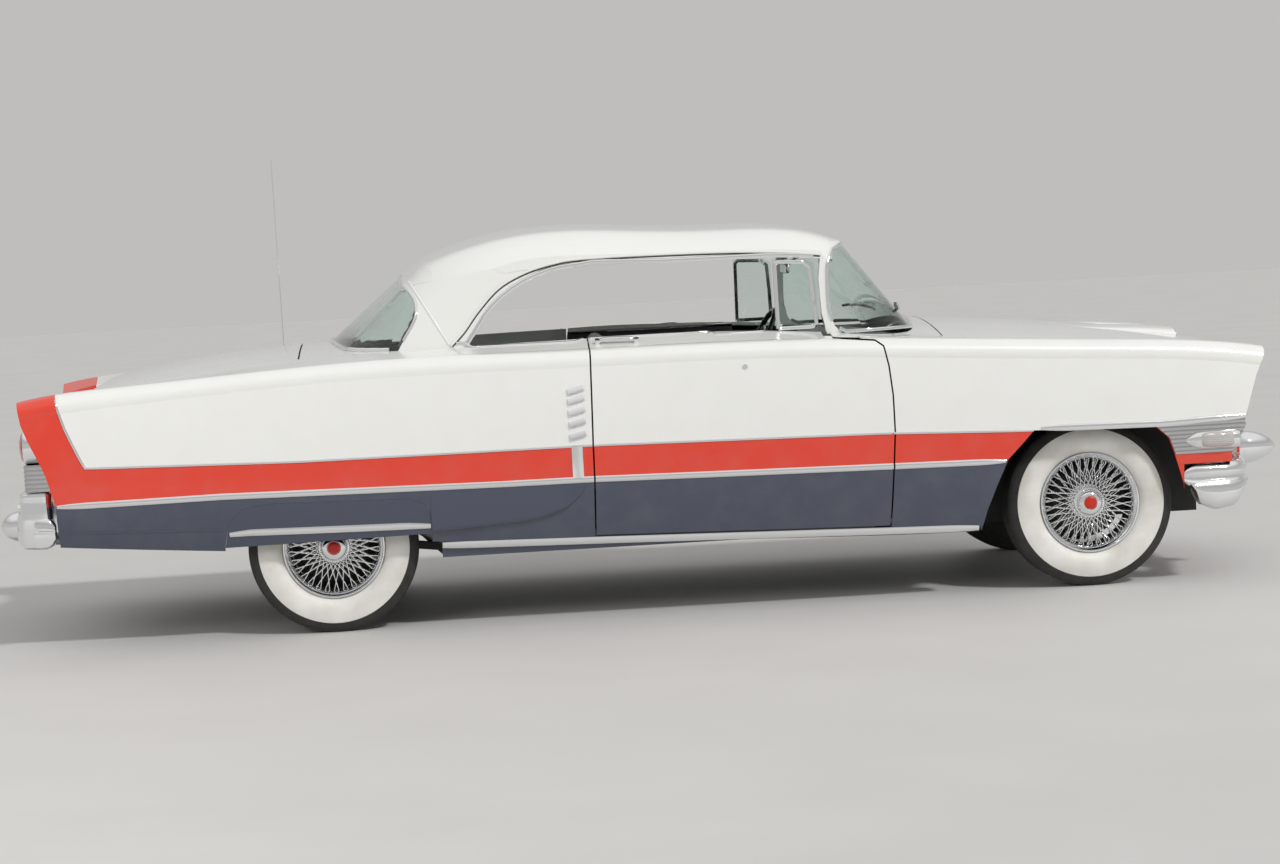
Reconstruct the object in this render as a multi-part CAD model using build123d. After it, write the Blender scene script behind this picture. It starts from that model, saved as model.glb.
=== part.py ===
"""1950s two-door hardtop car, built from separate named pieces.

Millimetres. +X points to the nose, +Y to the car's left, +Z up. The origin is on the
ground, in the middle of the length and of the width. "Left" pieces are at +Y.
"""
import os
from math import hypot

from build123d import *

os.makedirs("parts", exist_ok=True)

# Driving dimensions
WHEELBASE = 3226
REAR_AXLE_X = -1360
FRONT_AXLE_X = REAR_AXLE_X + WHEELBASE
TRACK = 1524
WHEEL_Y = TRACK / 2
TYRE_RADIUS = 358
TYRE_WIDTH = 206
RIM_RADIUS = 200
HUB_Z = TYRE_RADIUS

# Gaps and walls
PANEL_GAP = 7
SEAM = 0.6
SEAT_FIT = 0.3
PIN_FIT = 0.3
SKIN = 6
LID_THICKNESS = 14
SIDE_WALL = 95
GLASS = 6
PILLAR = 38
ROOF_THICKNESS = 32
RAIL_DROP = 26
SHEET = 6
WIDE = 1200

# Cross-sections of the lower body, nose to tail. Columns: x, then (y, z) at the sill
# edge, at the widest line, at the shoulder, at the fender's crown and in the valley
# beside hood, cabin or deck, and the height on the centre line.
BODY_SECTIONS = (
    (2660, (860, 300), (930, 555), (912, 900), (855, 985), (680, 950), 962),
    (2440, (885, 296), (945, 560), (925, 935), (865, 1020), (690, 1003), 1032),
    (1940, (905, 284), (962, 570), (940, 975), (875, 1058), (720, 1048), 1113),
    (1340, (915, 272), (975, 580), (950, 1010), (885, 1094), (750, 1096), 1166),
    (540, (922, 292), (984, 594), (958, 1055), (896, 1132), (798, 1163), 1200),
    (-370, (922, 317), (985, 601), (960, 1062), (898, 1138), (798, 1174), 1206),
    (-1160, (920, 340), (984, 603), (960, 1062), (895, 1138), (770, 1160), 1202),
    (-1760, (915, 374), (978, 604), (955, 1035), (890, 1110), (745, 1118), 1180),
    (-2260, (905, 412), (962, 602), (945, 1002), (880, 1082), (740, 1064), 1106),
    (-2660, (870, 444), (928, 600), (918, 960), (872, 1034), (740, 985), 1005),
)
LOWER_BULGE = 10
FLANK_BULGE = 9
CROWN_ROUNDING = 0.74

# Cross-sections of the roof. Columns: x, height on the centre line, then (y, z) at the
# roof's shoulder and at its rail.
ROOF_SECTIONS = (
    (1010, 1468, (500, 1458), (760, 1428)),
    (925, 1520, (520, 1508), (762, 1462)),
    (770, 1588, (560, 1570), (765, 1490)),
    (440, 1631, (590, 1608), (766, 1506)),
    (-105, 1657, (600, 1630), (766, 1512)),
    (-560, 1650, (590, 1622), (766, 1500)),
    (-800, 1594, (545, 1568), (727, 1462)),
    (-1020, 1480, (400, 1470), (547, 1432)),
    (-1110, 1400, (320, 1392), (440, 1362)),
)

# The greenhouse in plan, at the belt and at the header. Columns: z, windshield (x on the
# centre line, knee, corner, side), then backlight (side, corner, knee, centre x).
BELT_PLAN = (1140, 1240, (1178, 560), (1090, 728), (940, 797),
             (-900, 797), (-1123, 745), (-1300, 600), -1412)
HEADER_PLAN = (1560, 890, (862, 500), (818, 668), (730, 755),
               (-560, 755), (-759, 690), (-880, 520), -912)
CABIN_TOP_Z = 1720
HEADER_OVERHANG = 2

# Side views, as (x, z) outlines. The sill line runs from the rear wheel to the front one.
SILL_LINE = ((-907, 366), (1369, 302))
DOOR_OUTLINE = (
    (783, 1121), (957, 1103), (987, 1079), (1004, 996), (1014, 872), (1014, 718),
    (1002, 565), (985, 320), (-259, 355), (-254, 595), (-253, 737), (-241, 1240),
    (770, 1240),
)
VENT_OUTLINE = ((560, 1150), (560, 1468), (700, 1462), (738, 1440), (742, 1300),
                (744, 1150))
ZONE_TOP_Z = 1620
ROOF_REAR_X = -1014
ROOF_FRONT_LINE = ((816, 1501), (916, 1534), (1012, 1566))
WINDSHIELD_EDGE = ((816, ZONE_TOP_Z), (816, 1501), (797, 1445), (789, 1373), (787, 1239),
                   (810, 1171), (840, 1140))
A_PILLAR_REAR = ((768, ZONE_TOP_Z), (765, 1475), (753, 1375), (758, 1221), (775, 1140))
BACKLIGHT_EDGE = ((-1012, ZONE_TOP_Z), (-1004, 1441), (-958, 1356), (-969, 1288), (-1060, 1140))
WINDOW_ARCH = ((-220, 1480), (-363, 1467), (-462, 1438), (-552, 1394), (-633, 1331),
               (-696, 1247), (-748, 1172), (-768, 1140))
SKIRT_OUTLINE = ((-1806, 390), (-1784, 495), (-1722, 555), (-1606, 569), (-1035, 557),
                 (-973, 532), (-949, 488), (-946, 402))
FRONT_ARCH = ((1368, 240), (1404, 364), (1447, 470), (1496, 575), (1564, 642),
              (1610, 690), (2137, 674), (2190, 625), (2214, 555), (2254, 423),
              (2262, 240))
TAIL_EDGE = ((-2629, 1100), (-2629, 1035), (-2614, 947), (-2588, 879), (-2551, 801),
             (-2523, 733), (-2490, 612), (-2481, 240))
NOSE_EDGE = ((2640, 1100), (2634, 967), (2618, 929), (2589, 869), (2538, 719),
             (2523, 682), (2526, 661), (2467, 549), (2445, 240))
DECK_DROP = ((-2280, 1112), (-2376, 1043), (-2440, 965), (-2485, 840), (-2500, 240))
REAR_HEM = ((-1806, 375), (-2481, 430))
FRONT_HEM_Z = 508
TAIL_LAMP = ((-2556, 925), (-2608, 925), (-2612, 867), (-2604, 790), (-2623, 780),
             (-2619, 663), (-2500, 662))

# Hood, trunk lid and doors
HOOD_REAR = (1280, 742)
HOOD_FRONT = (2700, 662)
HOOD_LIP_Z = 880
COWL_HALF_WIDTH = 800
HOOD_PIN = (1340, 1104)
LID_FRONT_X = -1470
LID_HALF_WIDTH = 690
FIN_INNER_Y = 715
LID_BOTTOM_Z = 700
LID_PIN = (-1530, 1134)
LID_PIN_Y = 520
LID_PIN_RADIUS = 6
HINGE_ARM_DROP = 94
DOOR_INNER_Y = 858
DOOR_HEM_Z = 385
BELT_INNER_Y = 772
BELT_FRONT_X = 748
DOOR_HINGE = (930, 905)
DOOR_HINGE_HEIGHTS = (470, 900)
DOOR_TOE = 79
HINGE_STRAP = (8, 14)
DOOR_PIN_RADIUS = 8
HINGE_BAND = 50
VENT_FRAME = 14

# Frame and body structure
RAIL_Y = 425
RAIL_WIDTH = 60
RAIL_DEPTH = 100
RAIL_LINE = ((2430, 310), (1000, 310), (-880, 310), (-1080, 510), (-1650, 510),
             (-1850, 440), (-2440, 440))
CROSSMEMBER_DEPTH = 70
CROSSMEMBERS = ((FRONT_AXLE_X, 120, 310), (900, 80, 290), (-400, 80, 290),
                (-1700, 70, 495), (-2400, 70, 440))
FIREWALL_X = 1140
FIREWALL_SHEET = 10
SILL_BOX_Y = (800, 905)
SILL_TOP_Z = 378
HINGE_PILLAR = (922, 750, 782)
BULKHEAD_X = -1390
SHELF_Z = 1104
CABIN_WALL_X = -930
WELL_RADIUS = 425
WELL_INNER_Y = 625
WELL_FOOT_Z = 430
TUNNELS = ((-1000, 1060, 105, 470), (840, FIREWALL_X - FIREWALL_SHEET, 190, 590))
APRON_Y = 458

ENGINE_FOOT_Z = CROSSMEMBERS[0][2] + CROSSMEMBER_DEPTH / 2 + SEAT_FIT
GEARBOX_FOOT_Z = CROSSMEMBERS[1][2] + CROSSMEMBER_DEPTH / 2 + SEAT_FIT

# Running gear
KINGPIN_Y = 630
KINGPIN_RADIUS = 18
KINGPIN_FOOT_Z = 205
KINGPIN_HEAD_Z = 505
SPINDLE_RADIUS = 22
AXLE_TUBE_RADIUS = 38
ARM_SHEET = 24
EXHAUST_LINE = ((1250, 520, 312), (-850, 520, 312), (-1120, 560, 455), (-1600, 560, 455),
                (-1860, 600, 448), (-2560, 655, 448))
SILENCER_RADIUS = 46
TANK_FOOT_Z = 385

# Cabin
DRIVER_Y = 380
STEERING_CENTRE = (600, DRIVER_Y, 1040)
COLUMN_FOOT = (1104, DRIVER_Y, 770)
DASH_FRONT_X = FIREWALL_X - FIREWALL_SHEET - SEAT_FIT
DASH_OUTLINE = ((DASH_FRONT_X, 1112), (900, 1114), (850, 1090), (840, 1010), (880, 880),
                (960, 840), (980, 900), (DASH_FRONT_X, 940))
DASH_HALF_WIDTH = 715
FRONT_SEAT_BASE = ((-110, 400), (-80, 368), (470, 368), (560, 480), (570, 590),
                   (520, 640), (40, 610), (-110, 600))
FRONT_SEAT_BACK = ((-120, 560), (50, 600), (-70, 1150), (-110, 1190), (-170, 1180),
                   (-190, 1120))
FRONT_SEAT_HALF = 690
REAR_SEAT_BASE = ((-790, 368), (-500, 368), (-470, 560), (-520, 620), (-1030, 600),
                  (-1010, 572))
REAR_SEAT_BACK = ((-1080, 580), (-940, 600), (-1080, 1085), (-1180, 1095), (-1210, 1060))
REAR_SEAT_HALF = 610

# Bumpers, grille and lamps. The plan lines run from the centre line to the side.
FRONT_BAR_OUTER = ((2640, 0), (2636, 300), (2618, 560), (2560, 800), (2500, 915),
                   (2390, 940), (2255, 945))
FRONT_BAR_INNER = ((2590, 0), (2586, 300), (2568, 540), (2510, 750), (2450, 860),
                   (2380, 895), (2255, 905))
FRONT_BAR_Z = (405, 505)
FRONT_LOBE = ((2277, 421), (2319, 330), (2392, 305), (2486, 317), (2554, 425))
REAR_BAR_OUTER = ((-2712, 0), (-2708, 300), (-2696, 560), (-2660, 800), (-2600, 915),
                  (-2500, 940))
REAR_BAR_INNER = ((-2662, 0), (-2658, 300), (-2646, 540), (-2610, 760), (-2570, 860),
                  (-2500, 895))
REAR_BAR_Z = (430, 560)
REAR_POD = ((-2643, 556), (-2643, 660), (-2515, 642), (-2515, 556))
CONE_Y = 500
BRACKET_Y = (400, 450)
GRILLE_MOUTH = (640, 600, 835)
HEADLAMP = (792, 848)
HEADLAMP_RADIUS = 98
ANTENNA = (-1585, 800)
ANTENNA_TOP = (-1594, 2040)


def box(x0, x1, y0, y1, z0, z1):
    """A box between two corners."""
    size = (abs(x1 - x0), abs(y1 - y0), abs(z1 - z0))
    return Pos((x0 + x1) / 2, (y0 + y1) / 2, (z0 + z1) / 2) * Box(*size)


def joined(first, *others):
    """Several shapes fused in one solid."""
    return first.fuse(*others)


def less(shape, *tools):
    """A shape with several others cut out of it."""
    return shape.cut(*tools)


def outline_face(outline, y):
    """A side-view (x, z) outline as a face at one y."""
    return Face(Wire.make_polygon([(x, y, z) for x, z in outline], close=True))


def side_prism(outline, y0=-WIDE, y1=WIDE):
    """A side-view (x, z) outline, extruded from y0 to y1."""
    return Solid.extrude(outline_face(outline, y0), Vector(0, y1 - y0, 0))


def grown_prism(outline, gap, y0, y1):
    """A side-view outline moved outwards by a gap, then extruded."""
    wire = outline_face(outline, y0).outer_wire().offset_2d(gap)
    return Solid.extrude(Face(wire), Vector(0, y1 - y0, 0))


def arched_prism(straight, arch, y0=-WIDE, y1=WIDE):
    """A side-view region between a straight-sided line and a smooth arch."""
    curve = Spline([(x, y0, z) for x, z in arch])
    line = Polyline([(x, y0, z) for x, z in (arch[0],) + straight + (arch[-1],)])
    return Solid.extrude(Face(Wire([curve, *line.edges()])), Vector(0, y1 - y0, 0))


def plan_prism(outline, z0, z1):
    """A plan (x, y) outline, extruded from z0 to z1."""
    face = Face(Wire.make_polygon([(x, y, z0) for x, y in outline], close=True))
    return Solid.extrude(face, Vector(0, 0, z1 - z0))


def rod(start, end, radius):
    """A round bar between two points."""
    start, end = Vector(*start), Vector(*end)
    return Solid.make_cylinder(radius, (end - start).length,
                               Plane(origin=start, z_dir=end - start))


def cross_rod(x, z, y0, y1, radius):
    """A round bar along Y."""
    return rod((x, y0, z), (x, y1, z), radius)


def raised(line, height):
    """A side-view line moved square to itself, with mitred corners."""
    normals = []
    for (xa, za), (xb, zb) in zip(line, line[1:]):
        length = hypot(xb - xa, zb - za)
        normals.append(((zb - za) / length, (xa - xb) / length))
    moved = []
    for index, (x, z) in enumerate(line):
        before = normals[max(index - 1, 0)]
        after = normals[min(index, len(normals) - 1)]
        share = height / (1 + before[0] * after[0] + before[1] * after[1])
        moved.append((x + (before[0] + after[0]) * share, z + (before[1] + after[1]) * share))
    return moved


def plate_run(line, thickness, y0, y1):
    """A plate of one thickness that follows a side-view line from front to rear."""
    edge = raised(line, thickness / 2) + list(reversed(raised(line, -thickness / 2)))
    return side_prism(edge, y0, y1)


def turned(profile):
    """An (y, radius) outline turned about the Y axis."""
    face = Face(Wire.make_polygon([(0, y, radius) for y, radius in profile], close=True))
    return Solid.revolve(face, 360, Axis((0, 0, 0), (0, 1, 0)))


def mirrored(shape):
    """The same piece on the car's other side."""
    return shape.mirror(Plane.XZ)


def write(name, *shapes):
    """Write one node. Its solids don't touch each other."""
    shape = shapes[0] if len(shapes) == 1 else Compound(children=list(shapes))
    export_step(shape, f"parts/{name}.step")


def write_pair(name, left):
    """Write a left piece and its mirror image as two nodes."""
    write(f"{name}_left", left)
    write(f"{name}_right", mirrored(left))


def sill_z(x):
    """Height of the sill line at x."""
    (xa, za), (xb, zb) = SILL_LINE
    return za + (zb - za) * (x - xa) / (xb - xa)


def both_sides(half):
    """A plan line mirrored about the centre line."""
    return tuple((x, -y) for x, y in reversed(half) if y > 0) + tuple(half)


# Body forms

def body_wire(row, inset, drop):
    """One cross-section of the lower body, inset by a wall, with its foot let down."""
    x, (ys, zs), (yw, zw), (yh, zh), (yc, zc), (yv, zv), centre_z = row
    ys, yw, yh, yc, yv = (y - inset for y in (ys, yw, yh, yc, yv))
    zc, zv, centre_z = zc - inset, zv - inset, centre_z - inset

    def lower_side(z):
        """A point of the curve through the sill edge and the widest line, also below them."""
        share = (z - zs) / (zw - zs)
        return ys + (yw - ys) * share + 4 * LOWER_BULGE * share * (1 - share), z

    def half(side):
        foot_z = zs - drop
        flank = ((yw + yh) / 2 + FLANK_BULGE, (zw + zh) / 2)
        round_over = (yc + (yh - yc) * CROWN_ROUNDING, zh + (zc - zh) * CROWN_ROUNDING)
        points = (lower_side(foot_z), lower_side((foot_z + zw) / 2), (yw, zw), flank,
                  (yh, zh), round_over, (yc, zc), (yv, zv))
        return [(x, side * y, z) for y, z in points]

    left, right = half(1), half(-1)
    return Wire([
        Line(right[0], left[0]),
        ThreePointArc(left[0], left[1], left[2]),
        ThreePointArc(left[2], left[3], left[4]),
        ThreePointArc(left[4], left[5], left[6]),
        Line(left[6], left[7]),
        ThreePointArc(left[7], (x, 0, centre_z), right[7]),
        Line(right[7], right[6]),
        ThreePointArc(right[6], right[5], right[4]),
        ThreePointArc(right[4], right[3], right[2]),
        ThreePointArc(right[2], right[1], right[0]),
    ])


def body_solid(inset=0, drop=0):
    """The form of the lower body a wall's thickness inside, with its ends trimmed."""
    form = Solid.make_loft([body_wire(row, inset, drop) for row in BODY_SECTIONS])
    half = FIN_INNER_Y + inset
    behind_tail = side_prism(TAIL_EDGE + ((-2900, 240), (-2900, 1100)))
    before_nose = side_prism(NOSE_EDGE + ((2900, 240), (2900, 1100)))
    behind_deck = side_prism(DECK_DROP + ((-2900, 240), (-2900, 1180), (-2280, 1180)),
                             -half, half)
    return less(form, Pos(inset, 0, 0) * behind_tail, Pos(-inset, 0, 0) * before_nose,
                Pos(inset, 0, 0) * behind_deck)


def roof_wire(row, inset, drop):
    """One cross-section of the roof cap, inset by a wall, with its foot let down."""
    x, centre_z, (ys, zs), (yr, zr) = row
    ys, yr, zr = ys - inset / 2, yr - inset, zr - inset / 4
    centre_z, zs = centre_z - inset, zs - inset
    round_y, round_z = ys + (yr - ys) * 0.66, zs - (zs - zr) * 0.36
    base = zr - 4 - drop
    return Wire([
        Line((x, -yr, base), (x, yr, base)),
        Line((x, yr, base), (x, yr, zr)),
        ThreePointArc((x, yr, zr), (x, round_y, round_z), (x, ys, zs)),
        ThreePointArc((x, ys, zs), (x, 0, centre_z), (x, -ys, zs)),
        ThreePointArc((x, -ys, zs), (x, -round_y, round_z), (x, -yr, zr)),
        Line((x, -yr, zr), (x, -yr, base)),
    ])


def roof_solid(inset=0, drop=0):
    """The closed form of the roof cap."""
    return Solid.make_loft([roof_wire(row, inset, drop) for row in ROOF_SECTIONS])


def cabin_row(z):
    """The greenhouse's plan at one height, on the straight lines from belt to header."""
    share = (z - BELT_PLAN[0]) / (HEADER_PLAN[0] - BELT_PLAN[0])

    def between(a, b):
        if isinstance(a, tuple):
            return tuple(between(p, q) for p, q in zip(a, b))
        return a + (b - a) * share

    return tuple(between(a, b) for a, b in zip(BELT_PLAN, HEADER_PLAN))


def cabin_wire(row, inset):
    """One plan section of the greenhouse."""
    z, front_x, f_knee, f_corner, f_side, r_side, r_corner, r_knee, rear_x = row
    left = [(x + away * inset, y - inset, z) for (x, y), away in (
        (f_knee, -1), (f_corner, -0.7), (f_side, 0), (r_side, 0), (r_corner, 0.7), (r_knee, 1))]
    right = [(x, -y, height) for x, y, height in left]
    return Wire([
        ThreePointArc(right[0], (front_x - inset, 0, z), left[0]),
        ThreePointArc(left[0], left[1], left[2]),
        Line(left[2], left[3]),
        ThreePointArc(left[3], left[4], left[5]),
        ThreePointArc(left[5], (rear_x + inset, 0, z), right[5]),
        ThreePointArc(right[5], right[4], right[3]),
        Line(right[3], right[2]),
        ThreePointArc(right[2], right[1], right[0]),
    ])


def cabin_solid(inset=0, base=BELT_PLAN[0], top=CABIN_TOP_Z):
    """The closed form of the greenhouse, from the belt up past the header."""
    return Solid.make_loft([cabin_wire(cabin_row(z), inset) for z in (base, top)], True)


body = body_solid()
thin_skin = less(body, body_solid(SKIN, drop=60))
lid_skin = less(body, body_solid(LID_THICKNESS, drop=60))
wall_skin = less(body, body_solid(SIDE_WALL, drop=60))
around_body = body_solid(-SEAT_FIT)
cabin = cabin_solid()
cabin_well = cabin_solid(-SEAM, base=1060, top=1300)


# Hood, trunk lid and their hinges

def hood_plan(gap):
    """The hood's plan outline, moved outwards by a gap."""
    (xr, yr), (xf, yf) = HOOD_REAR, HOOD_FRONT
    return ((xr - gap, -yr - gap), (xf, -yf - gap), (xf, yf + gap), (xr - gap, yr + gap))


def lid_lugs(pin, top_z):
    """Lugs under a lid, bored for its hinge pins."""
    x, z = pin
    lugs = []
    for side in (-1, 1):
        for offset in (-16, 16):
            y = side * LID_PIN_Y + offset
            lug = box(x - 14, x + 14, y - 6, y + 6, z - 12, top_z)
            lugs.append(less(lug, cross_rod(x, z, y - 10, y + 10, LID_PIN_RADIUS + PIN_FIT)))
    return lugs


def lid_arms(pin, wall_x):
    """Fixed arms that come from a wall and carry a lid's hinge pins."""
    x, z = pin
    low = z - HINGE_ARM_DROP
    line = ((x, z), (x, low), (wall_x, low))
    arms = []
    for side in (-1, 1):
        y = side * LID_PIN_Y
        arms.append(joined(plate_run(line, 18, y - 5, y + 5),
                           cross_rod(x, z, y - 24, y + 24, LID_PIN_RADIUS)))
    return arms


hood = lid_skin & plan_prism(hood_plan(0), HOOD_LIP_Z, 1300)
write("hood", joined(hood, *lid_lugs(HOOD_PIN, 1128)))

lid_zone = box(-2700, LID_FRONT_X, -LID_HALF_WIDTH, LID_HALF_WIDTH, LID_BOTTOM_Z, 1300)
write("trunk_lid", joined(lid_skin & lid_zone, *lid_lugs(LID_PIN, 1156)))

# Doors, with their hinge pins and vent windows

door_space = grown_prism(DOOR_OUTLINE, PANEL_GAP, 0, WIDE)
hinge_x, hinge_y = DOOR_HINGE
door_cuts = [
    box(-400, 1100, 800, SILL_BOX_Y[1] + PANEL_GAP, 200, DOOR_HEM_Z),
    box(hinge_x + 5, 1100, 800, hinge_y - 20, 200, 1300),
]
hinge_pins = []
for height in DOOR_HINGE_HEIGHTS:
    low, high = height - HINGE_BAND / 2, height + HINGE_BAND / 2
    door_cuts.append(box(hinge_x - 45, 1100, 800, hinge_y + 20, low, high))
    door_cuts.append(rod((*DOOR_HINGE, low - 25), (*DOOR_HINGE, high + 25),
                         DOOR_PIN_RADIUS + PIN_FIT))
    pin = rod((*DOOR_HINGE, low - 20), (*DOOR_HINGE, high + 20), DOOR_PIN_RADIUS)
    strap = box(hinge_x - HINGE_STRAP[0], hinge_x + HINGE_STRAP[1], HINGE_PILLAR[2], hinge_y,
                low + 8, high - 8)
    hinge_pins.append(joined(pin, strap))
door = joined(body & side_prism(DOOR_OUTLINE, DOOR_INNER_Y, WIDE),
              lid_skin & side_prism(DOOR_OUTLINE, BELT_INNER_Y, DOOR_INNER_Y + 1)
              & box(-400, BELT_FRONT_X, 0, WIDE, 1100, 1240))
write_pair("door", less(door, *door_cuts))

vent_zone = side_prism(VENT_OUTLINE, 600, WIDE)
vent_hole = Solid.extrude(Face(outline_face(VENT_OUTLINE, 600).outer_wire()
                               .offset_2d(-VENT_FRAME)), Vector(0, 600, 0))
vent_frame = less(cabin_solid(4), cabin_solid(4 + VENT_FRAME)) & vent_zone
vent_pane = less(cabin_solid(8), cabin_solid(8 + GLASS)) & vent_zone
vent_window = joined(less(vent_frame, vent_hole), vent_pane)
write_pair("vent_window", less(vent_window, around_body))

# Fenders, quarter panels, rockers and the panels between them

(sill_rear_x, sill_rear_z), (sill_front_x, sill_front_z) = SILL_LINE
under_sill = side_prism(((sill_rear_x, 200), (sill_front_x, 200), SILL_LINE[1],
                         SILL_LINE[0]), SILL_BOX_Y[0])
sill_box = box(sill_rear_x, 1349, *SILL_BOX_Y, 296, SILL_TOP_Z)
toe_notch = box(hinge_x - PANEL_GAP, hinge_x + DOOR_TOE, hinge_y - DOOR_TOE, WIDE, 200, 400)
sill_box = less(sill_box, toe_notch,
                side_prism(((950, 290), (1400, 290), (1400, 400), (1080, 400))))
write_pair("rocker", joined(body & under_sill, sill_box))

lamp_y, lamp_z = HEADLAMP
mouth_y, mouth_low, mouth_high = GRILLE_MOUTH
NOSE_SIDE_Y = 690
cowl_zone = box(700, HOOD_REAR[0] - PANEL_GAP + SEAM, 0, COWL_HALF_WIDTH, 1000, 1300)
fender_zone = joined(box(900, 2700, 600, WIDE, 240, 1300), box(775, 905, 600, 850, 1000, 1300))
fender = less(
    thin_skin & fender_zone,
    plan_prism(hood_plan(PANEL_GAP), 700, 1300), door_space,
    side_prism(FRONT_ARCH, 600), box(2255, 2700, 600, WIDE, 200, FRONT_HEM_Z),
    side_prism(((800, 200), (1400, 200), (sill_front_x, sill_front_z + SEAM),
                (800, sill_z(800) + SEAM))),
    cowl_zone, cabin_well,
    rod((2400, lamp_y, lamp_z), (2700, lamp_y, lamp_z), HEADLAMP_RADIUS + SEAM),
    box(2400, 2700, 0, NOSE_SIDE_Y, 500, HOOD_LIP_Z))
write_pair("front_fender", fender)

nose = thin_skin & box(2380, 2700, SEAM - NOSE_SIDE_Y, NOSE_SIDE_Y - SEAM, 540,
                       HOOD_LIP_Z - PANEL_GAP)
write("nose_panel", less(nose, box(2300, 2700, -mouth_y, mouth_y, mouth_low, mouth_high)))

quarter = joined(wall_skin & box(CABIN_WALL_X, 0, 0, WIDE, 240, 1300),
                 thin_skin & box(-2700, CABIN_WALL_X, FIN_INNER_Y - 20, WIDE, 240, 1300))
lid_space = plan_prism(((LID_FRONT_X + PANEL_GAP, 0),
                        (LID_FRONT_X + PANEL_GAP, LID_HALF_WIDTH + PANEL_GAP),
                        (-2700, LID_HALF_WIDTH + PANEL_GAP), (-2700, 0)),
                       LID_BOTTOM_Z - PANEL_GAP, 1300)
quarter = less(
    quarter, door_space, cabin_well, box(CABIN_WALL_X, 0, 0, 780, 900, 1300), lid_space,
    side_prism(SKIRT_OUTLINE + ((-946, 200), (-1806, 200)), 600),
    side_prism(((-1806, 200), REAR_HEM[0], REAR_HEM[1], (-2700, 430), (-2700, 200))),
    side_prism(((-1000, 200), (0, 200), (0, sill_z(0) + SEAM), (-1000, sill_z(-1000) + SEAM))),
    box(-960, 0, 0, SILL_BOX_Y[1] + SEAM, 240, SILL_TOP_Z + SEAM))
write_pair("quarter_panel", quarter)

skirt_zone = Solid.extrude(Face(outline_face(SKIRT_OUTLINE, 600).outer_wire()
                                .offset_2d(-SEAM)), Vector(0, 600, 0))
skirt = lid_skin & skirt_zone
write("rear_wheel_skirts", skirt, mirrored(skirt))

between_fins = FIN_INNER_Y - 20 - SEAM
deck = thin_skin & box(LID_FRONT_X + PANEL_GAP, -950, -between_fins, between_fins, 1000, 1300)
write("rear_deck_panel", less(deck, cabin_well))

tail = thin_skin & box(-2700, -2380, -between_fins, between_fins, 500,
                       LID_BOTTOM_Z - PANEL_GAP)
write("tail_panel", tail)

FLOOR_LINE = tuple(raised(RAIL_LINE[1:], RAIL_DEPTH / 2 + SHEET / 2)[1:])
floor_top = RAIL_LINE[0][1] + RAIL_DEPTH / 2 + SHEET
deck_floor_z = RAIL_LINE[3][1] + RAIL_DEPTH / 2 + SHEET
bulkhead = joined(
    box(BULKHEAD_X, BULKHEAD_X + 10, -700, 700, deck_floor_z, SHELF_Z),
    box(BULKHEAD_X, -1080, -700, 700, SHELF_Z, SHELF_Z + 8), *lid_arms(LID_PIN, BULKHEAD_X))
well_top = HUB_Z + WELL_RADIUS + SEAM
bulkhead = less(bulkhead, box(-1500, -1300, WELL_INNER_Y - SEAM, 800, 400, well_top),
                box(-1500, -1300, -800, SEAM - WELL_INNER_Y, 400, well_top))
write("rear_bulkhead", bulkhead)

# Cowl, firewall and hinge pillars
cowl_side = COWL_HALF_WIDTH - SEAM
cowl = thin_skin & box(900, HOOD_REAR[0] - PANEL_GAP, -cowl_side, cowl_side, 1000, 1300)
write("cowl_panel", less(cowl, cabin_well))

pillar_x, pillar_y0, pillar_y1 = HINGE_PILLAR
firewall_rear = FIREWALL_X - FIREWALL_SHEET
tunnel_half, tunnel_top = TUNNELS[1][2] + SHEET, TUNNELS[1][3] + SHEET
firewall = joined(
    box(firewall_rear, FIREWALL_X, -pillar_y1, pillar_y1, 540, 1060),
    box(pillar_x, FIREWALL_X, pillar_y0, pillar_y1, floor_top, 1060),
    box(pillar_x, FIREWALL_X, -pillar_y1, -pillar_y0, floor_top, 1060),
    *lid_arms(HOOD_PIN, FIREWALL_X), *hinge_pins, *(mirrored(pin) for pin in hinge_pins))
firewall = less(firewall, box(1100, 1200, -tunnel_half, tunnel_half, 300, tunnel_top))
write("firewall", firewall)

# Roof with its pillars, and the two large windows
windshield_zone = side_prism(WINDSHIELD_EDGE + ((1500, 1140), (1500, ZONE_TOP_Z)))
a_pillar_zone = side_prism(WINDSHIELD_EDGE + tuple(reversed(A_PILLAR_REAR)))
backlight_zone = side_prism(BACKLIGHT_EDGE + ((-1600, 1140), (-1600, ZONE_TOP_Z)))
c_pillar_zone = arched_prism(((WINDOW_ARCH[0][0], ZONE_TOP_Z),) + BACKLIGHT_EDGE, WINDOW_ARCH)
rail_line = tuple((x, rail[1]) for x, _, _, rail in ROOF_SECTIONS)
under_rails = side_prism(rail_line + ((-1300, 1100), (1100, 1100)))

roof_rear_x, roof_front_x = ROOF_SECTIONS[-1][0] - SEAM, ROOF_SECTIONS[0][0] + SEAM
window_room = (
    box(roof_rear_x, ROOF_REAR_X, -WIDE, WIDE, BELT_PLAN[0], CABIN_TOP_Z),
    side_prism(ROOF_FRONT_LINE + ((roof_front_x, BELT_PLAN[0]),
                                  (ROOF_FRONT_LINE[0][0], BELT_PLAN[0]))))
under_roof = roof_solid(ROOF_THICKNESS, drop=400)
above_lining = less(box(ROOF_SECTIONS[-1][0], ROOF_SECTIONS[0][0], -WIDE, WIDE, 1140, CABIN_TOP_Z),
                    under_roof, under_rails, *window_room)
pillar_band = less(cabin, cabin_solid(PILLAR))
pillar_band = joined(pillar_band & under_rails, pillar_band & roof_solid(drop=RAIL_DROP))
roof = less(roof_solid(drop=RAIL_DROP) & cabin_solid(-HEADER_OVERHANG), under_roof, *window_room)
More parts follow.
